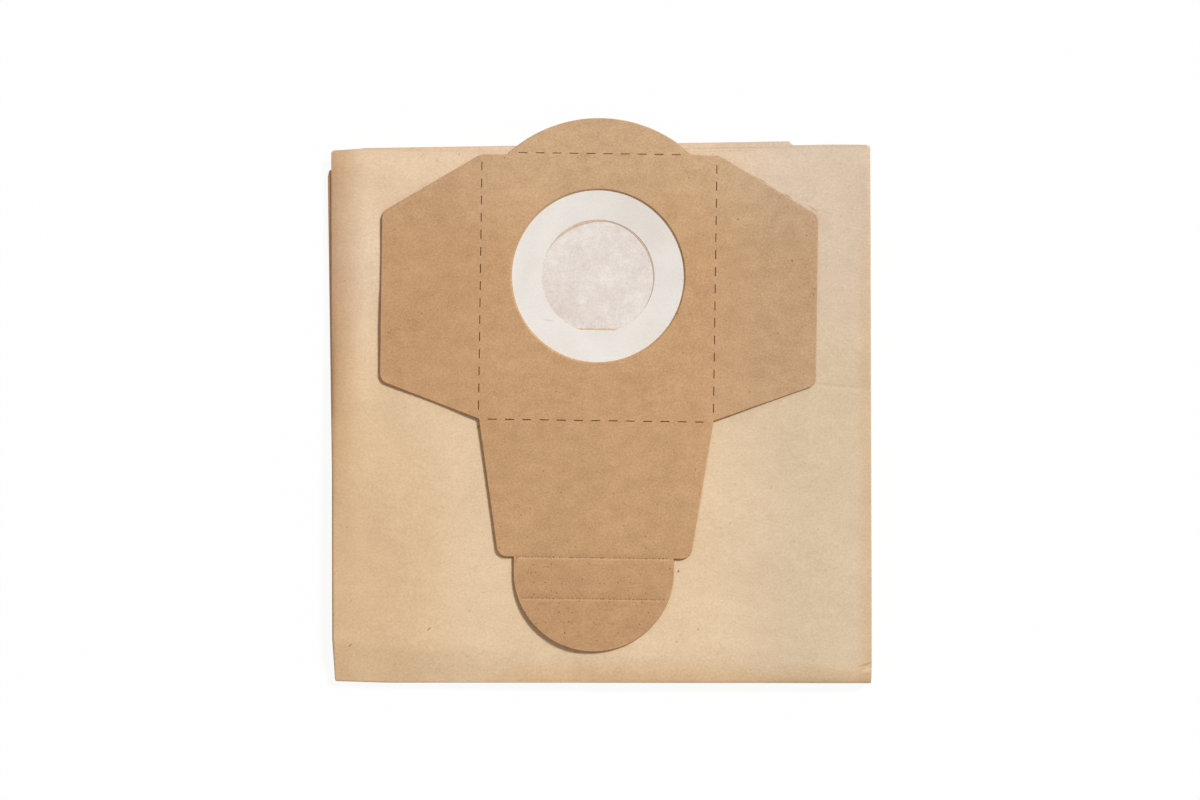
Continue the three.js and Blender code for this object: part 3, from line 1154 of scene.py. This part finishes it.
def tube_face(packet: FoldedPacket, inset: float, end_inset: float,
              steps: TubeSteps) -> tuple[np.ndarray, list, np.ndarray]:
    """Makes one closed face of the folded tube.

    Args:
        packet: the folded packet.
        inset: how far inside the outer face this face lies, in mm.
        end_inset: how far from the tube's ends it closes, in mm.
        steps: how finely the face is divided.

    Returns:
        The points, in mm, the faces, and how much of a cut edge each point is.
    """
    places = packet.stations(end_inset, steps)
    loops = [packet.place(packet.section(along, inset, steps), along) for along in places]
    size = len(loops[0])
    faces = joined_loops(len(loops), size)
    run, ends = steps.run, steps.wing_end - 1
    opposite = [run + ends + (run - 1 - i) for i in range(run)]
    cap = [(i, opposite[i], opposite[i + 1], i + 1) for i in range(run - 1)]
    cap.append(tuple(range(run + ends, run - 2, -1)))
    cap.append((0, *range(size - 1, size - 1 - ends, -1), opposite[0]))
    faces.extend(cap)
    last = (len(loops) - 1) * size
    faces.extend(tuple(last + i for i in reversed(face)) for face in cap)
    from_end = np.minimum(places, packet.length - places)
    edge = np.repeat(np.exp(-(from_end / CUT_EDGE_MM) ** 2), size)
    return np.concatenate(loops), faces, edge


@dataclass(frozen=True)
class Ply:
    """One ply of the tube: the insets of its two faces and of its glued ends, in mm."""

    outer: float
    inner: float
    end_inset: float
    end_seam: float

    def build(self, name: str, packet: FoldedPacket, outside: TubeSteps,
              inside: TubeSteps) -> bpy.types.Object:
        """Makes the folded tube of this ply.

        Args:
            name: the piece's name.
            packet: the folded packet.
            outside: how finely its outer face is divided.
            inside: how finely its inner face is divided.

        Returns:
            The piece, with its hollow inside.
        """
        points, faces, edge = tube_face(packet, self.outer, self.end_inset, outside)
        end_inset = self.end_inset + self.end_seam
        hollow, inner_faces, inner_edge = tube_face(packet.lining(), self.inner, end_inset, inside)
        shift = len(points)
        turned = [tuple(shift + i for i in reversed(face)) for face in inner_faces]
        edge = np.concatenate([edge, inner_edge])
        return mesh_object(name, np.concatenate([points, hollow]), faces + turned, edge)


@dataclass
class Inlet:
    """The inlet hole, round with one flat at its lower side, in mm."""

    x: float
    y: float
    turn: float = math.radians(-0.8)
    radius: float = 26.1
    flat: float = 24.9
    steps: int = 180

    def outline(self, radius: float, flat: float, notches: tuple = ()) -> np.ndarray:
        """Returns the points of a hole like the inlet.

        Args:
            radius: the hole's radius.
            flat: distance of its flat below the centre.
            notches: rows of direction in degrees, how far the edge comes in, and its spread.

        Returns:
            Rows of x and y, running anticlockwise.
        """
        low = math.acos(flat / radius)
        arc = np.linspace(-math.pi / 2 + low, 3 * math.pi / 2 - low, self.steps)
        reach = np.full_like(arc, radius)
        for degrees, depth, spread in notches:
            away = (arc - math.radians(degrees)) / math.radians(spread)
            reach = reach - depth * np.exp(-away ** 2)
        return self.carried(np.column_stack([reach * np.cos(arc), reach * np.sin(arc)]))

    def carried(self, points: np.ndarray) -> np.ndarray:
        """Carries points given from the inlet's centre to their place on the bag.

        Args:
            points: rows of x and y, or of x, y and z, in mm.

        Returns:
            The rows with x and y of their place. A height stays as it is.
        """
        c, s = math.cos(self.turn), math.sin(self.turn)
        x, y = points[:, 0], points[:, 1]
        return np.column_stack([self.x + x * c - y * s, self.y + x * s + y * c, points[:, 2:]])


def cut_inlet(piece: bpy.types.Object, packet: FoldedPacket, outline: np.ndarray) -> None:
    """Cuts the inlet hole through the front wall of a ply, and not through its back wall.

    Args:
        piece: the ply.
        packet: the folded packet.
        outline: the hole's outline, as rows of x and y, in mm.
    """
    low, high = packet.thickness - packet.inlet_cut, packet.thickness + packet.inlet_cut
    cutter = prism("inlet_hole", outline, low, high)
    combine(piece, [cutter], Solver.CUT)


@dataclass
class FilterBag:
    """The outer ply of kraft paper."""

    packet: FoldedPacket
    inlet: Inlet
    ply: Ply = Ply(outer=0.0, inner=0.2, end_inset=0.0, end_seam=3.0)
    outside: TubeSteps = TubeSteps()
    inside: TubeSteps = COARSE_STEPS
    hole_radius: float = 26.25
    hole_flat: float = 24.15
    # where its edge shows inside the seal's hole: direction, how far it comes in, and spread
    slivers: tuple = ((118, 1.4, 30), (35, 0.8, 50))
    sharp_degrees: float = 40.0

    def build(self) -> bpy.types.Object:
        """Returns the dressed piece."""
        piece = self.ply.build("kraft_filter_bag", self.packet, self.outside, self.inside)
        outline = self.inlet.outline(self.hole_radius, self.hole_flat, self.slivers)
        cut_inlet(piece, self.packet, outline)
        shade(piece, self.sharp_degrees)
        finish_piece(piece, "filter_bag", KRAFT_PAPER.build())
        return piece


@dataclass
class InnerPly:
    """The pale filter tissue that lines the kraft tube."""

    packet: FoldedPacket
    inlet: Inlet
    ply: Ply = Ply(outer=0.25, inner=0.4, end_inset=14.0, end_seam=3.0)
    outside: TubeSteps = COARSE_STEPS
    inside: TubeSteps = replace(COARSE_STEPS, front=60, front_spacing=4.0)
    hole_margin: float = 1.2
    sharp_degrees: float = 40.0

    def build(self) -> bpy.types.Object:
        """Returns the dressed piece."""
        lining = self.packet.lining()
        piece = self.ply.build("tissue_inner_ply", lining, self.outside, self.inside)
        radius = self.inlet.radius + self.hole_margin
        flat = self.inlet.flat + self.hole_margin
        cut_inlet(piece, self.packet, self.inlet.outline(radius, flat))
        shade(piece, self.sharp_degrees)
        finish_piece(piece, "inner_ply", FILTER_TISSUE.build())
        return piece


@dataclass
class InletSeal:
    """The rubber ring between bag and card, in mm."""

    inlet: Inlet
    low: float
    high: float
    outer_radius: float = 50.0
    edge: float = 0.04
    level_radius: float = 40.0
    lip_drop: float = 0.5
    arc_steps: int = 200
    flat_steps: int = 14
    rings: int = 24
    edge_steps: int = 5
    edge_power: int = 3
    sharp_degrees: float = 50.0

    def hole_edge(self) -> tuple[np.ndarray, np.ndarray]:
        """Returns directions round the hole, and how far its edge is from the centre in each."""
        low_angle = math.acos(self.inlet.flat / self.inlet.radius)
        start, end = -math.pi / 2 + low_angle, 3 * math.pi / 2 - low_angle
        arc = np.linspace(start, end, self.arc_steps + 1)[:-1]
        flat = np.linspace(end, 3 * math.pi / 2 + low_angle, self.flat_steps + 1)[:-1]
        reach = [np.full_like(arc, self.inlet.radius), self.inlet.flat / -np.sin(flat)]
        return np.concatenate([arc, flat]), np.concatenate(reach)

    def section(self) -> list[tuple[float, float, float]]:
        """Returns the ring's section: outwards, height and share of the way to the rim."""
        hole, lip_high = self.inlet.radius, self.high - self.lip_drop
        middle, half = (self.low + lip_high) / 2, (lip_high - self.low) / 2
        loop = []
        for angle in np.linspace(0, math.pi, 2 * self.edge_steps + 1):
            height = middle - half * math.cos(angle) ** self.edge_power
            loop.append((self.edge * (1 - math.sin(angle)), height, 0))
        shares = np.linspace(0, 1, self.rings + 1)[1:]
        place = hole + shares * (self.outer_radius - hole)
        rises = ((place - hole) / (self.level_radius - hole)).clip(0, 1)
        loop += [(0, lip_high + self.lip_drop * rise, at) for at, rise in zip(shares, rises)]
        loop += [(0, self.low, at) for at in shares[::-1]]
        return loop

    def build(self) -> bpy.types.Object:
        """Returns the dressed piece."""
        loop = self.section()
        angles, reach = self.hole_edge()
        points = []
        for angle, hole in zip(angles, reach):
            for offset, height, share in loop:
                radius = hole + offset + share * (self.outer_radius - hole - offset)
                points.append((radius * math.cos(angle), radius * math.sin(angle), height))
        faces = joined_loops(len(angles), len(loop), is_ring=True)
        piece = mesh_object("rubber_inlet_seal", self.inlet.carried(np.array(points)), faces)
        shade(piece, self.sharp_degrees)
        finish_piece(piece, "inlet_seal", SEAL_RUBBER.build())
        return piece


@dataclass
class CardCollar:
    """The die-cut board, measured from the centre of its hole, in mm."""

    inlet: Inlet
    low: float
    high: float
    # the hole and the cut edges, which slant outwards
    hole_radius: float = 39.7
    hole_flare: float = 0.8
    edge_flare: float = 0.4
    # the outline, whose pairs are its left side and its right side
    panel_half: float = 54.25
    top_line: float = 56.6
    bottom_line: float = 66.7
    tab_peak: float = 72.7
    tab_radius: float = 62.3
    tab_shift: float = 0.4
    tab_fillet: float = 1.0
    shoulders: tuple = ((-54.4, 55.4), (55.5, 56.1))
    tab_roots: tuple[float, float] = (55.4, 56.5)
    flap_tops: tuple = ((-99.9, 28.0), (101.0, 29.3))
    flap_bottoms: tuple = ((-99.9, -49.5), (101.0, -48.8))
    waist: tuple = ((-53.9, -66.5), (54.0, -66.1))
    flap_ends: tuple = ((-44.2, -129.9), (44.3, -129.9))
    corner: float = 4.6
    waist_corner: float = 1.0
    tongue_line: float = 130.1
    tongue_half: float = 36.8
    tongue_shift: float = -0.15
    tongue_straight: float = 6.3
    # pressed creases of the tongue
    crease_spacing: float = 19.0
    crease_width: float = 0.7
    crease_depth: float = 0.1
    crease_margin: float = 2.0
    crack_margin: float = 1.0
    # tear slots
    dash: float = 4.1
    pitch: float = 7.9
    cut_width: float = 0.42
    cut_overrun: float = 1.0
    margin: float = 4.4
    # how the free flaps lie
    flap_dip: float = 0.35
    side_dips_over: float = 25.0
    lower_dips_over: tuple[float, float] = (-10.0, 20.0)
    tongue_lift: float = 0.3
    tongue_lifts_over: float = 35.0
    # how finely it is made
    cell: float = 6.0
    slab_margin: float = 1.0
    trim_overrun: float = 0.3
    tab_steps: int = 60
    tongue_steps: int = 72
    corner_steps: int = 8
    hole_steps: int = 180
    sharp_degrees: float = 25.0

    def crease_lines(self) -> list[tuple[float, float]]:
        """Returns the height of each crease across the tongue, and half its length."""
        second_rise = self.crease_spacing - self.tongue_straight
        second_half = math.sqrt(self.tongue_half ** 2 - second_rise ** 2)
        second_line = -self.tongue_line - self.crease_spacing
        return [(-self.tongue_line, self.tongue_half), (second_line, second_half)]

    def corners(self) -> list[tuple[float, float, float]]:
        """Returns the outline's corners, each with its rounding, running clockwise."""
        tab_centre = self.tab_peak - self.tab_radius
        left, right = (math.asin((y - tab_centre) / self.tab_radius) for y in self.tab_roots)
        left_root, right_root = (self.tab_radius * math.cos(angle) for angle in (left, right))
        angles = np.linspace(math.pi - left, right, self.tab_steps + 1)[1:-1]
        arc = arc_points(self.tab_radius, angles)
        tab = [(self.tab_shift + x, tab_centre + y, 0.0) for x, y in arc]
        tongue_centre = self.tongue_line + self.tongue_straight
        arc = arc_points(self.tongue_half, np.linspace(0, -math.pi, self.tongue_steps + 1))
        tongue = [(self.tongue_shift + x, y - tongue_centre, 0.0) for x, y in arc]
        tongue_left = self.tongue_shift - self.tongue_half
        tongue_right = self.tongue_shift + self.tongue_half
        end_line = self.flap_ends[0][1]
        return [
            (self.tab_shift - left_root, self.tab_roots[0], self.tab_fillet), *tab,
            (self.tab_shift + right_root, self.tab_roots[1], self.tab_fillet),
            (*self.shoulders[1], self.corner),
            (*self.flap_tops[1], self.corner), (*self.flap_bottoms[1], self.corner),
            (*self.waist[1], self.waist_corner), (*self.flap_ends[1], self.corner),
            (tongue_right, end_line, 0.0), *tongue, (tongue_left, end_line, 0.0),
            (*self.flap_ends[0], self.corner), (*self.waist[0], self.waist_corner),
            (*self.flap_bottoms[0], self.corner), (*self.flap_tops[0], self.corner),
            (*self.shoulders[0], self.corner),
        ]

    def outline(self, outwards: float = 0.0) -> np.ndarray:
        """Rounds the corners.

        Args:
            outwards: how far the outline is moved outwards, in mm.

        Returns:
            Rows of x and y, running anticlockwise.
        """
        corners = self.corners()
        points = []
        for i, (x, y, radius) in enumerate(corners):
            here = np.array([x, y])
            back = np.array(corners[i - 1][:2]) - here
            ahead = np.array(corners[(i + 1) % len(corners)][:2]) - here
            back, ahead = back / np.linalg.norm(back), ahead / np.linalg.norm(ahead)
            if radius == 0:
                points.append(here)
                continue
            half = math.acos(np.clip(back @ ahead, -1, 1)) / 2
            middle = (back + ahead) / np.linalg.norm(back + ahead)
            centre = here + middle * radius / math.sin(half)
            first = here + back * radius / math.tan(half) - centre
            last = here + ahead * radius / math.tan(half) - centre
            for t in np.linspace(0, 1, self.corner_steps + 1):
                between = first * (1 - t) + last * t
                points.append(centre + between / np.linalg.norm(between) * radius)
        points = self.inlet.carried(np.array(points))[::-1]
        way = np.roll(points, -1, 0) - np.roll(points, 1, 0)
        way = way / np.linalg.norm(way, axis=1, keepdims=True)
        return points + outwards * np.column_stack([way[:, 1], -way[:, 0]])

    def slab(self) -> bpy.types.Object:
        """Returns a plain slab that covers the collar, in cells that can bend."""
        outline = self.outline(self.edge_flare)
        low, high = outline.min(0) - self.slab_margin, outline.max(0) + self.slab_margin
        columns = int((high[0] - low[0]) / self.cell) + 1
        rows = int((high[1] - low[1]) / self.cell) + 1
        points, faces = [], []
        for z in (self.low, self.high):
            for y in np.linspace(low[1], high[1], rows + 1):
                for x in np.linspace(low[0], high[0], columns + 1):
                    points.append((x, y, z))
        layer = (rows + 1) * (columns + 1)
        for row in range(rows):
            for column in range(columns):
                a = row * (columns + 1) + column
                quad = (a, a + 1, a + columns + 2, a + columns + 1)
                faces.append(tuple(reversed(quad)))
                faces.append(tuple(layer + i for i in quad))
        ring = list(range(columns))
        ring += [r * (columns + 1) + columns for r in range(rows)]
        ring += [rows * (columns + 1) + c for c in range(columns, 0, -1)]
        ring += [r * (columns + 1) for r in range(rows, 0, -1)]
        for a, b in zip(ring, ring[1:] + ring[:1]):
            faces.append((a, b, layer + b, layer + a))
        return mesh_object("board_slab", np.array(points), faces)

    def crease(self, y: float, half_length: float) -> bpy.types.Object:
        """Makes the cutter of one pressed crease across the tongue.

        Args:
            y: the crease's place, from the hole's centre, in mm.
            half_length: half its length, in mm.

        Returns:
            The cutter.
        """
        half, depth = self.crease_width / 2, self.crease_depth
        section = [(-half, depth / 2), (0, -depth), (half, depth / 2)]
        points = []
        for x in (self.tongue_shift - half_length, self.tongue_shift + half_length):
            points += [(x, y + offset, self.high + z) for offset, z in section]
        faces = [(0, 2, 1), (3, 4, 5), (0, 1, 4, 3), (1, 2, 5, 4), (2, 0, 3, 5)]
        return mesh_object("crease_cutter", self.inlet.carried(np.array(points)), faces)

    def tear_lines(self) -> bpy.types.Object:
        """Returns the four tear lines, from the middle of the first slot to that of the last."""
        rise = self.top_line - (self.tab_peak - self.tab_radius)
        root = math.sqrt(self.tab_radius ** 2 - rise ** 2)
        half, top, low = self.panel_half, self.top_line, -self.bottom_line
        lines = [
            ((-half, low), (-half, top)), ((half, low), (half, top)),
            ((-root, top), (root, top)), ((-half, low), (half, low)),
        ]
        trim = self.margin + self.dash / 2
        points = []
        for start, end in lines:
            start, end = np.array(start), np.array(end)
            way = (end - start) / np.linalg.norm(end - start)
            points += [start + way * trim, end - way * trim]
        flat = self.inlet.carried(np.array(points))
        rows = np.column_stack([flat, np.full(len(flat), (self.low + self.high) / 2)])
        pairs = tuple((i, i + 1) for i in range(0, len(rows), 2))
        return mesh_object("kraftboard_collar", rows, [], lines=pairs)

    def perforation_tree(self) -> bpy.types.NodeTree:
        """Returns the tree that cuts slots in the board along the tear lines."""
        tree = bpy.data.node_groups.new("Tear line slots", "GeometryNodeTree")
        sockets = (
            ("Tear lines", "INPUT", "NodeSocketGeometry"),
            ("Board", "INPUT", "NodeSocketObject"),
            ("Pitch", "INPUT", "NodeSocketFloat"),
            ("Slot size", "INPUT", "NodeSocketVector"),
            ("Material", "INPUT", "NodeSocketMaterial"),
            ("Collar", "OUTPUT", "NodeSocketGeometry"),
        )
        for name, way, kind in sockets:
            tree.interface.new_socket(name, in_out=way, socket_type=kind)
        given = add_node(tree, "NodeGroupInput")
        lines = add_node(tree, "GeometryNodeMeshToCurve", {0: given.outputs["Tear lines"]})
        length = add_node(tree, "GeometryNodeSplineLength")
        inputs = {0: length, 1: given.outputs["Pitch"]}
        gaps = add_node(tree, "ShaderNodeMath", inputs, operation="DIVIDE")
        whole = add_node(tree, "ShaderNodeMath", {0: gaps}, operation="ROUND")
        count = add_node(tree, "ShaderNodeMath", {0: whole, 1: 1.0}, operation="ADD")
        spaced = add_node(tree, "GeometryNodeResampleCurve", {"Curve": lines, "Count": count})
        slot = add_node(tree, "GeometryNodeMeshCube", {"Size": given.outputs["Slot size"]})
        tangent = add_node(tree, "GeometryNodeInputTangent")
        turned = add_node(tree, "FunctionNodeAlignRotationToVector", {"Vector": tangent}, axis="X")
        inputs = {"Points": spaced, "Instance": slot, "Rotation": turned}
        slots = add_node(tree, "GeometryNodeInstanceOnPoints", inputs)
        solid = add_node(tree, "GeometryNodeRealizeInstances", {0: slots})
        inputs = {0: given.outputs["Board"]}
        board = add_node(tree, "GeometryNodeObjectInfo", inputs, transform_space="RELATIVE")
        inputs = {0: board.outputs["Geometry"], 1: solid}
        how = {"operation": Solver.CUT.value, "solver": "EXACT"}
        cut = add_node(tree, "GeometryNodeMeshBoolean", inputs, **how)
        inputs = {"Geometry": cut, "Material": given.outputs["Material"]}
        dressed = add_node(tree, "GeometryNodeSetMaterial", inputs)
        add_node(tree, "NodeGroupOutput", {0: dressed})
        return tree

    def perforate(self, board: bpy.types.Object, material: bpy.types.Material) -> bpy.types.Object:
        """Cuts the slots in the board.

        Args:
            board: the board without its slots, which is deleted.
            material: the board's material.

        Returns:
            The collar.
        """
        piece = self.tear_lines()
        tree = self.perforation_tree()
        cutter = piece.modifiers.new("slots", "NODES")
        cutter.node_group = tree
        height = self.high - self.low + self.cut_overrun
        values = {
            "Board": board,
            "Pitch": self.pitch * MM,
            "Slot size": (self.dash * MM, self.cut_width * MM, height * MM),
            "Material": material,
        }
        for item in tree.interface.items_tree:
            if item.in_out == "INPUT" and item.name in values:
                cutter[item.identifier] = values[item.name]
        evaluated_mesh(piece)
        bpy.data.objects.remove(board)
        return piece

    def finish(self) -> SheetFinish:
        """Returns the board's finish, with the cracks along its two creases and a painted highlight
        below each.
        """
        across = (-math.sin(self.inlet.turn), math.cos(self.inlet.turn))
        lines = []
        for y, half in self.crease_lines():
            ends = [(self.tongue_shift - half, y), (self.tongue_shift + half, y)]
            first, last = self.inlet.carried(np.array(ends))
            offset = float(first @ across)
            start, end = first[0] + self.crack_margin, last[0] - self.crack_margin
            lines.append(PressedLine(across, offset, start, end))
        return replace(KRAFT_BOARD, layers=KRAFT_BOARD.layers + tuple(lines))

    def bend(self, piece: bpy.types.Object) -> None:
        """Lets the flaps lie down towards the paper, and lifts the tongue's end.

        Args:
            piece: the collar, whose points are moved.
        """
        for vertex in piece.data.vertices:
            x = vertex.co.x / MM - self.inlet.x
            y = vertex.co.y / MM - self.inlet.y
            from_side, from_bottom = abs(x) - self.panel_half, -y - self.bottom_line
            side = smoothstep(from_side, 0, self.side_dips_over)
            lower = smoothstep(from_bottom, *self.lower_dips_over)
            end = smoothstep(-y - self.tongue_line, 0, self.tongue_lifts_over)
            dip = self.flap_dip * max(side, lower * (1 - end))
            vertex.co.z += float(self.tongue_lift * end - dip) * MM

    def build(self) -> bpy.types.Object:
        """Returns the dressed piece."""
        board = self.slab()
        over, thickness = self.trim_overrun, self.high - self.low
        low, high = self.low - over, self.high + over
        below, above = 1 + over / thickness, over / thickness
        widest = self.outline(self.edge_flare * below)
        narrowest = self.outline(-self.edge_flare * above)
        outline = prism("collar_outline", widest, low, high, narrowest)
        combine(board, [outline], Solver.KEEP_COMMON)
        angles = np.linspace(0, 2 * math.pi, self.hole_steps + 1)[:-1]
        ring = np.column_stack([np.cos(angles), np.sin(angles)])
        ring_low = self.inlet.carried(ring * (self.hole_radius - self.hole_flare * above))
        ring_high = self.inlet.carried(ring * (self.hole_radius + self.hole_flare * below))
        hole = prism("card_hole", ring_low, low, high, ring_high)
        creases = [self.crease(y, half - self.crease_margin) for y, half in self.crease_lines()]
        combine(board, [hole, *creases], Solver.CUT)
        material = self.finish().build()
        piece = self.perforate(board, material)
        self.bend(piece)
        shade(piece, self.sharp_degrees)
        finish_piece(piece, "card_collar", material)
        return piece


def seen_directly(tree: bpy.types.NodeTree) -> bpy.types.NodeSocket:
    """Tells rays that see a thing directly, in gloss or through glass from its light on others.

    Args:
        tree: the tree that gets the nodes.

    Returns:
        An output that is one for such rays and zero for the others.
    """
    path = add_node(tree, "ShaderNodeLightPath")
    inputs = {0: path.outputs["Is Camera Ray"], 1: path.outputs["Is Glossy Ray"]}
    either = add_node(tree, "ShaderNodeMath", inputs, operation="MAXIMUM")
    inputs = {0: either, 1: path.outputs["Is Transmission Ray"]}
    return add_node(tree, "ShaderNodeMath", inputs, operation="MAXIMUM").outputs[0]


@dataclass
class Studio:
    """The camera straight above, the lamp from the upper right and the white ground."""

    lens_mm: float = 100.0
    sensor_mm: float = 36.0
    sun_elevation: float = math.radians(47)
    sun_heading: float = math.radians(42)
    sun_spread: float = math.radians(12)
    sun_share: float = 0.64
    fill_colour: tuple[float, float, float] = (1.06, 0.96, 0.88)
    floor_half: float = 3.0
    floor_white: float = 0.93
    floor_grey: float = 0.96

    def camera(self) -> None:
        """Puts the camera where the photograph was taken from."""
        width = PHOTO.width_px * PHOTO.mm_per_px * MM
        distance = self.lens_mm * width / self.sensor_mm
        x, y = PHOTO.place(PHOTO.width_px / 2, PHOTO.height_px / 2)
        data = bpy.data.cameras.new("camera")
        data.lens = self.lens_mm
        data.sensor_width = self.sensor_mm
        camera = bpy.data.objects.new("camera", data)
        camera.location = (x * MM, y * MM, distance + PHOTO.plane_mm * MM)
        bpy.context.scene.collection.objects.link(camera)
        bpy.context.scene.camera = camera

    def lamps(self) -> None:
        """Lights the bag from the upper right.

        A flat sheet shows its own colour, because the warm fill and the cool lamp add up to white.
        """
        data = bpy.data.lights.new("lamp", "SUN")
        data.angle = self.sun_spread
        data.energy = self.sun_share * math.pi / math.sin(self.sun_elevation)
        fill_share = 1 - self.sun_share
        data.color = [(1 - fill_share * part) / self.sun_share for part in self.fill_colour]
        lamp = bpy.data.objects.new("lamp", data)
        level = math.cos(self.sun_elevation)
        towards = Vector((
            level * math.cos(self.sun_heading),
            level * math.sin(self.sun_heading),
            math.sin(self.sun_elevation),
        ))
        lamp.rotation_euler = towards.to_track_quat("Z", "Y").to_euler()
        bpy.context.scene.collection.objects.link(lamp)
        world = bpy.data.worlds.new("studio")
        world.use_nodes = True
        tree = world.node_tree
        tree.nodes.clear()
        inputs = {0: (*self.fill_colour, 1), 1: fill_share}
        fill = add_node(tree, "ShaderNodeBackground", inputs)
        white = add_node(tree, "ShaderNodeBackground", {0: (1, 1, 1, 1), 1: 1.0})
        inputs = {0: seen_directly(tree), 1: fill, 2: white}
        mixed = add_node(tree, "ShaderNodeMixShader", inputs)
        add_node(tree, "ShaderNodeOutputWorld", {0: mixed})
        bpy.context.scene.world = world

    def floor(self) -> None:
        """Lays the white ground, which keeps a light shadow."""
        half = self.floor_half / MM
        corners = np.array([(-half, -half, 0), (half, -half, 0), (half, half, 0), (-half, half, 0)])
        floor = mesh_object("floor", corners, [(0, 1, 2, 3)])
        material = bpy.data.materials.new("white ground")
        material.use_nodes = True
        tree = material.node_tree
        tree.nodes.clear()
        lit = add_node(tree, "ShaderNodeBsdfDiffuse", {0: (*[self.floor_grey] * 3, 1)})
        glow = add_node(tree, "ShaderNodeEmission", {0: (1, 1, 1, 1), 1: 1.0})
        inputs = {0: seen_directly(tree), 1: self.floor_white}
        share = add_node(tree, "ShaderNodeMath", inputs, operation="MULTIPLY")
        mixed = add_node(tree, "ShaderNodeMixShader", {0: share, 1: lit, 2: glow})
        add_node(tree, "ShaderNodeOutputMaterial", {0: mixed})
        floor.data.materials.append(material)

    def build(self) -> None:
        """Sets the stage."""
        self.camera()
        self.lamps()
        self.floor()
        bpy.context.scene.view_settings.view_transform = "Standard"


def middle_mm(node: str) -> tuple[float, float, float, float]:
    """Returns the middle of a node of the frame, then its lowest and highest z, in mm."""
    low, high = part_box(node)
    return (low.x + high.x) / 2 / MM, (low.y + high.y) / 2 / MM, low.z / MM, high.z / MM


def main() -> None:
    """Builds the stage and the four pieces of the bag."""
    logging.basicConfig(level=logging.INFO)
    seal_x, seal_y, seal_low, seal_high = middle_mm("inlet_seal")
    _, _, card_low, card_high = middle_mm("card_collar")
    inlet = Inlet(seal_x, seal_y)
    packet = FoldedPacket(seal_x, seal_y)
    Studio().build()
    FilterBag(packet, inlet).build()
    InnerPly(packet, inlet).build()
    InletSeal(inlet, seal_low, seal_high).build()
    CardCollar(inlet, card_low, card_high).build()


if __name__ == "__main__":
    main()
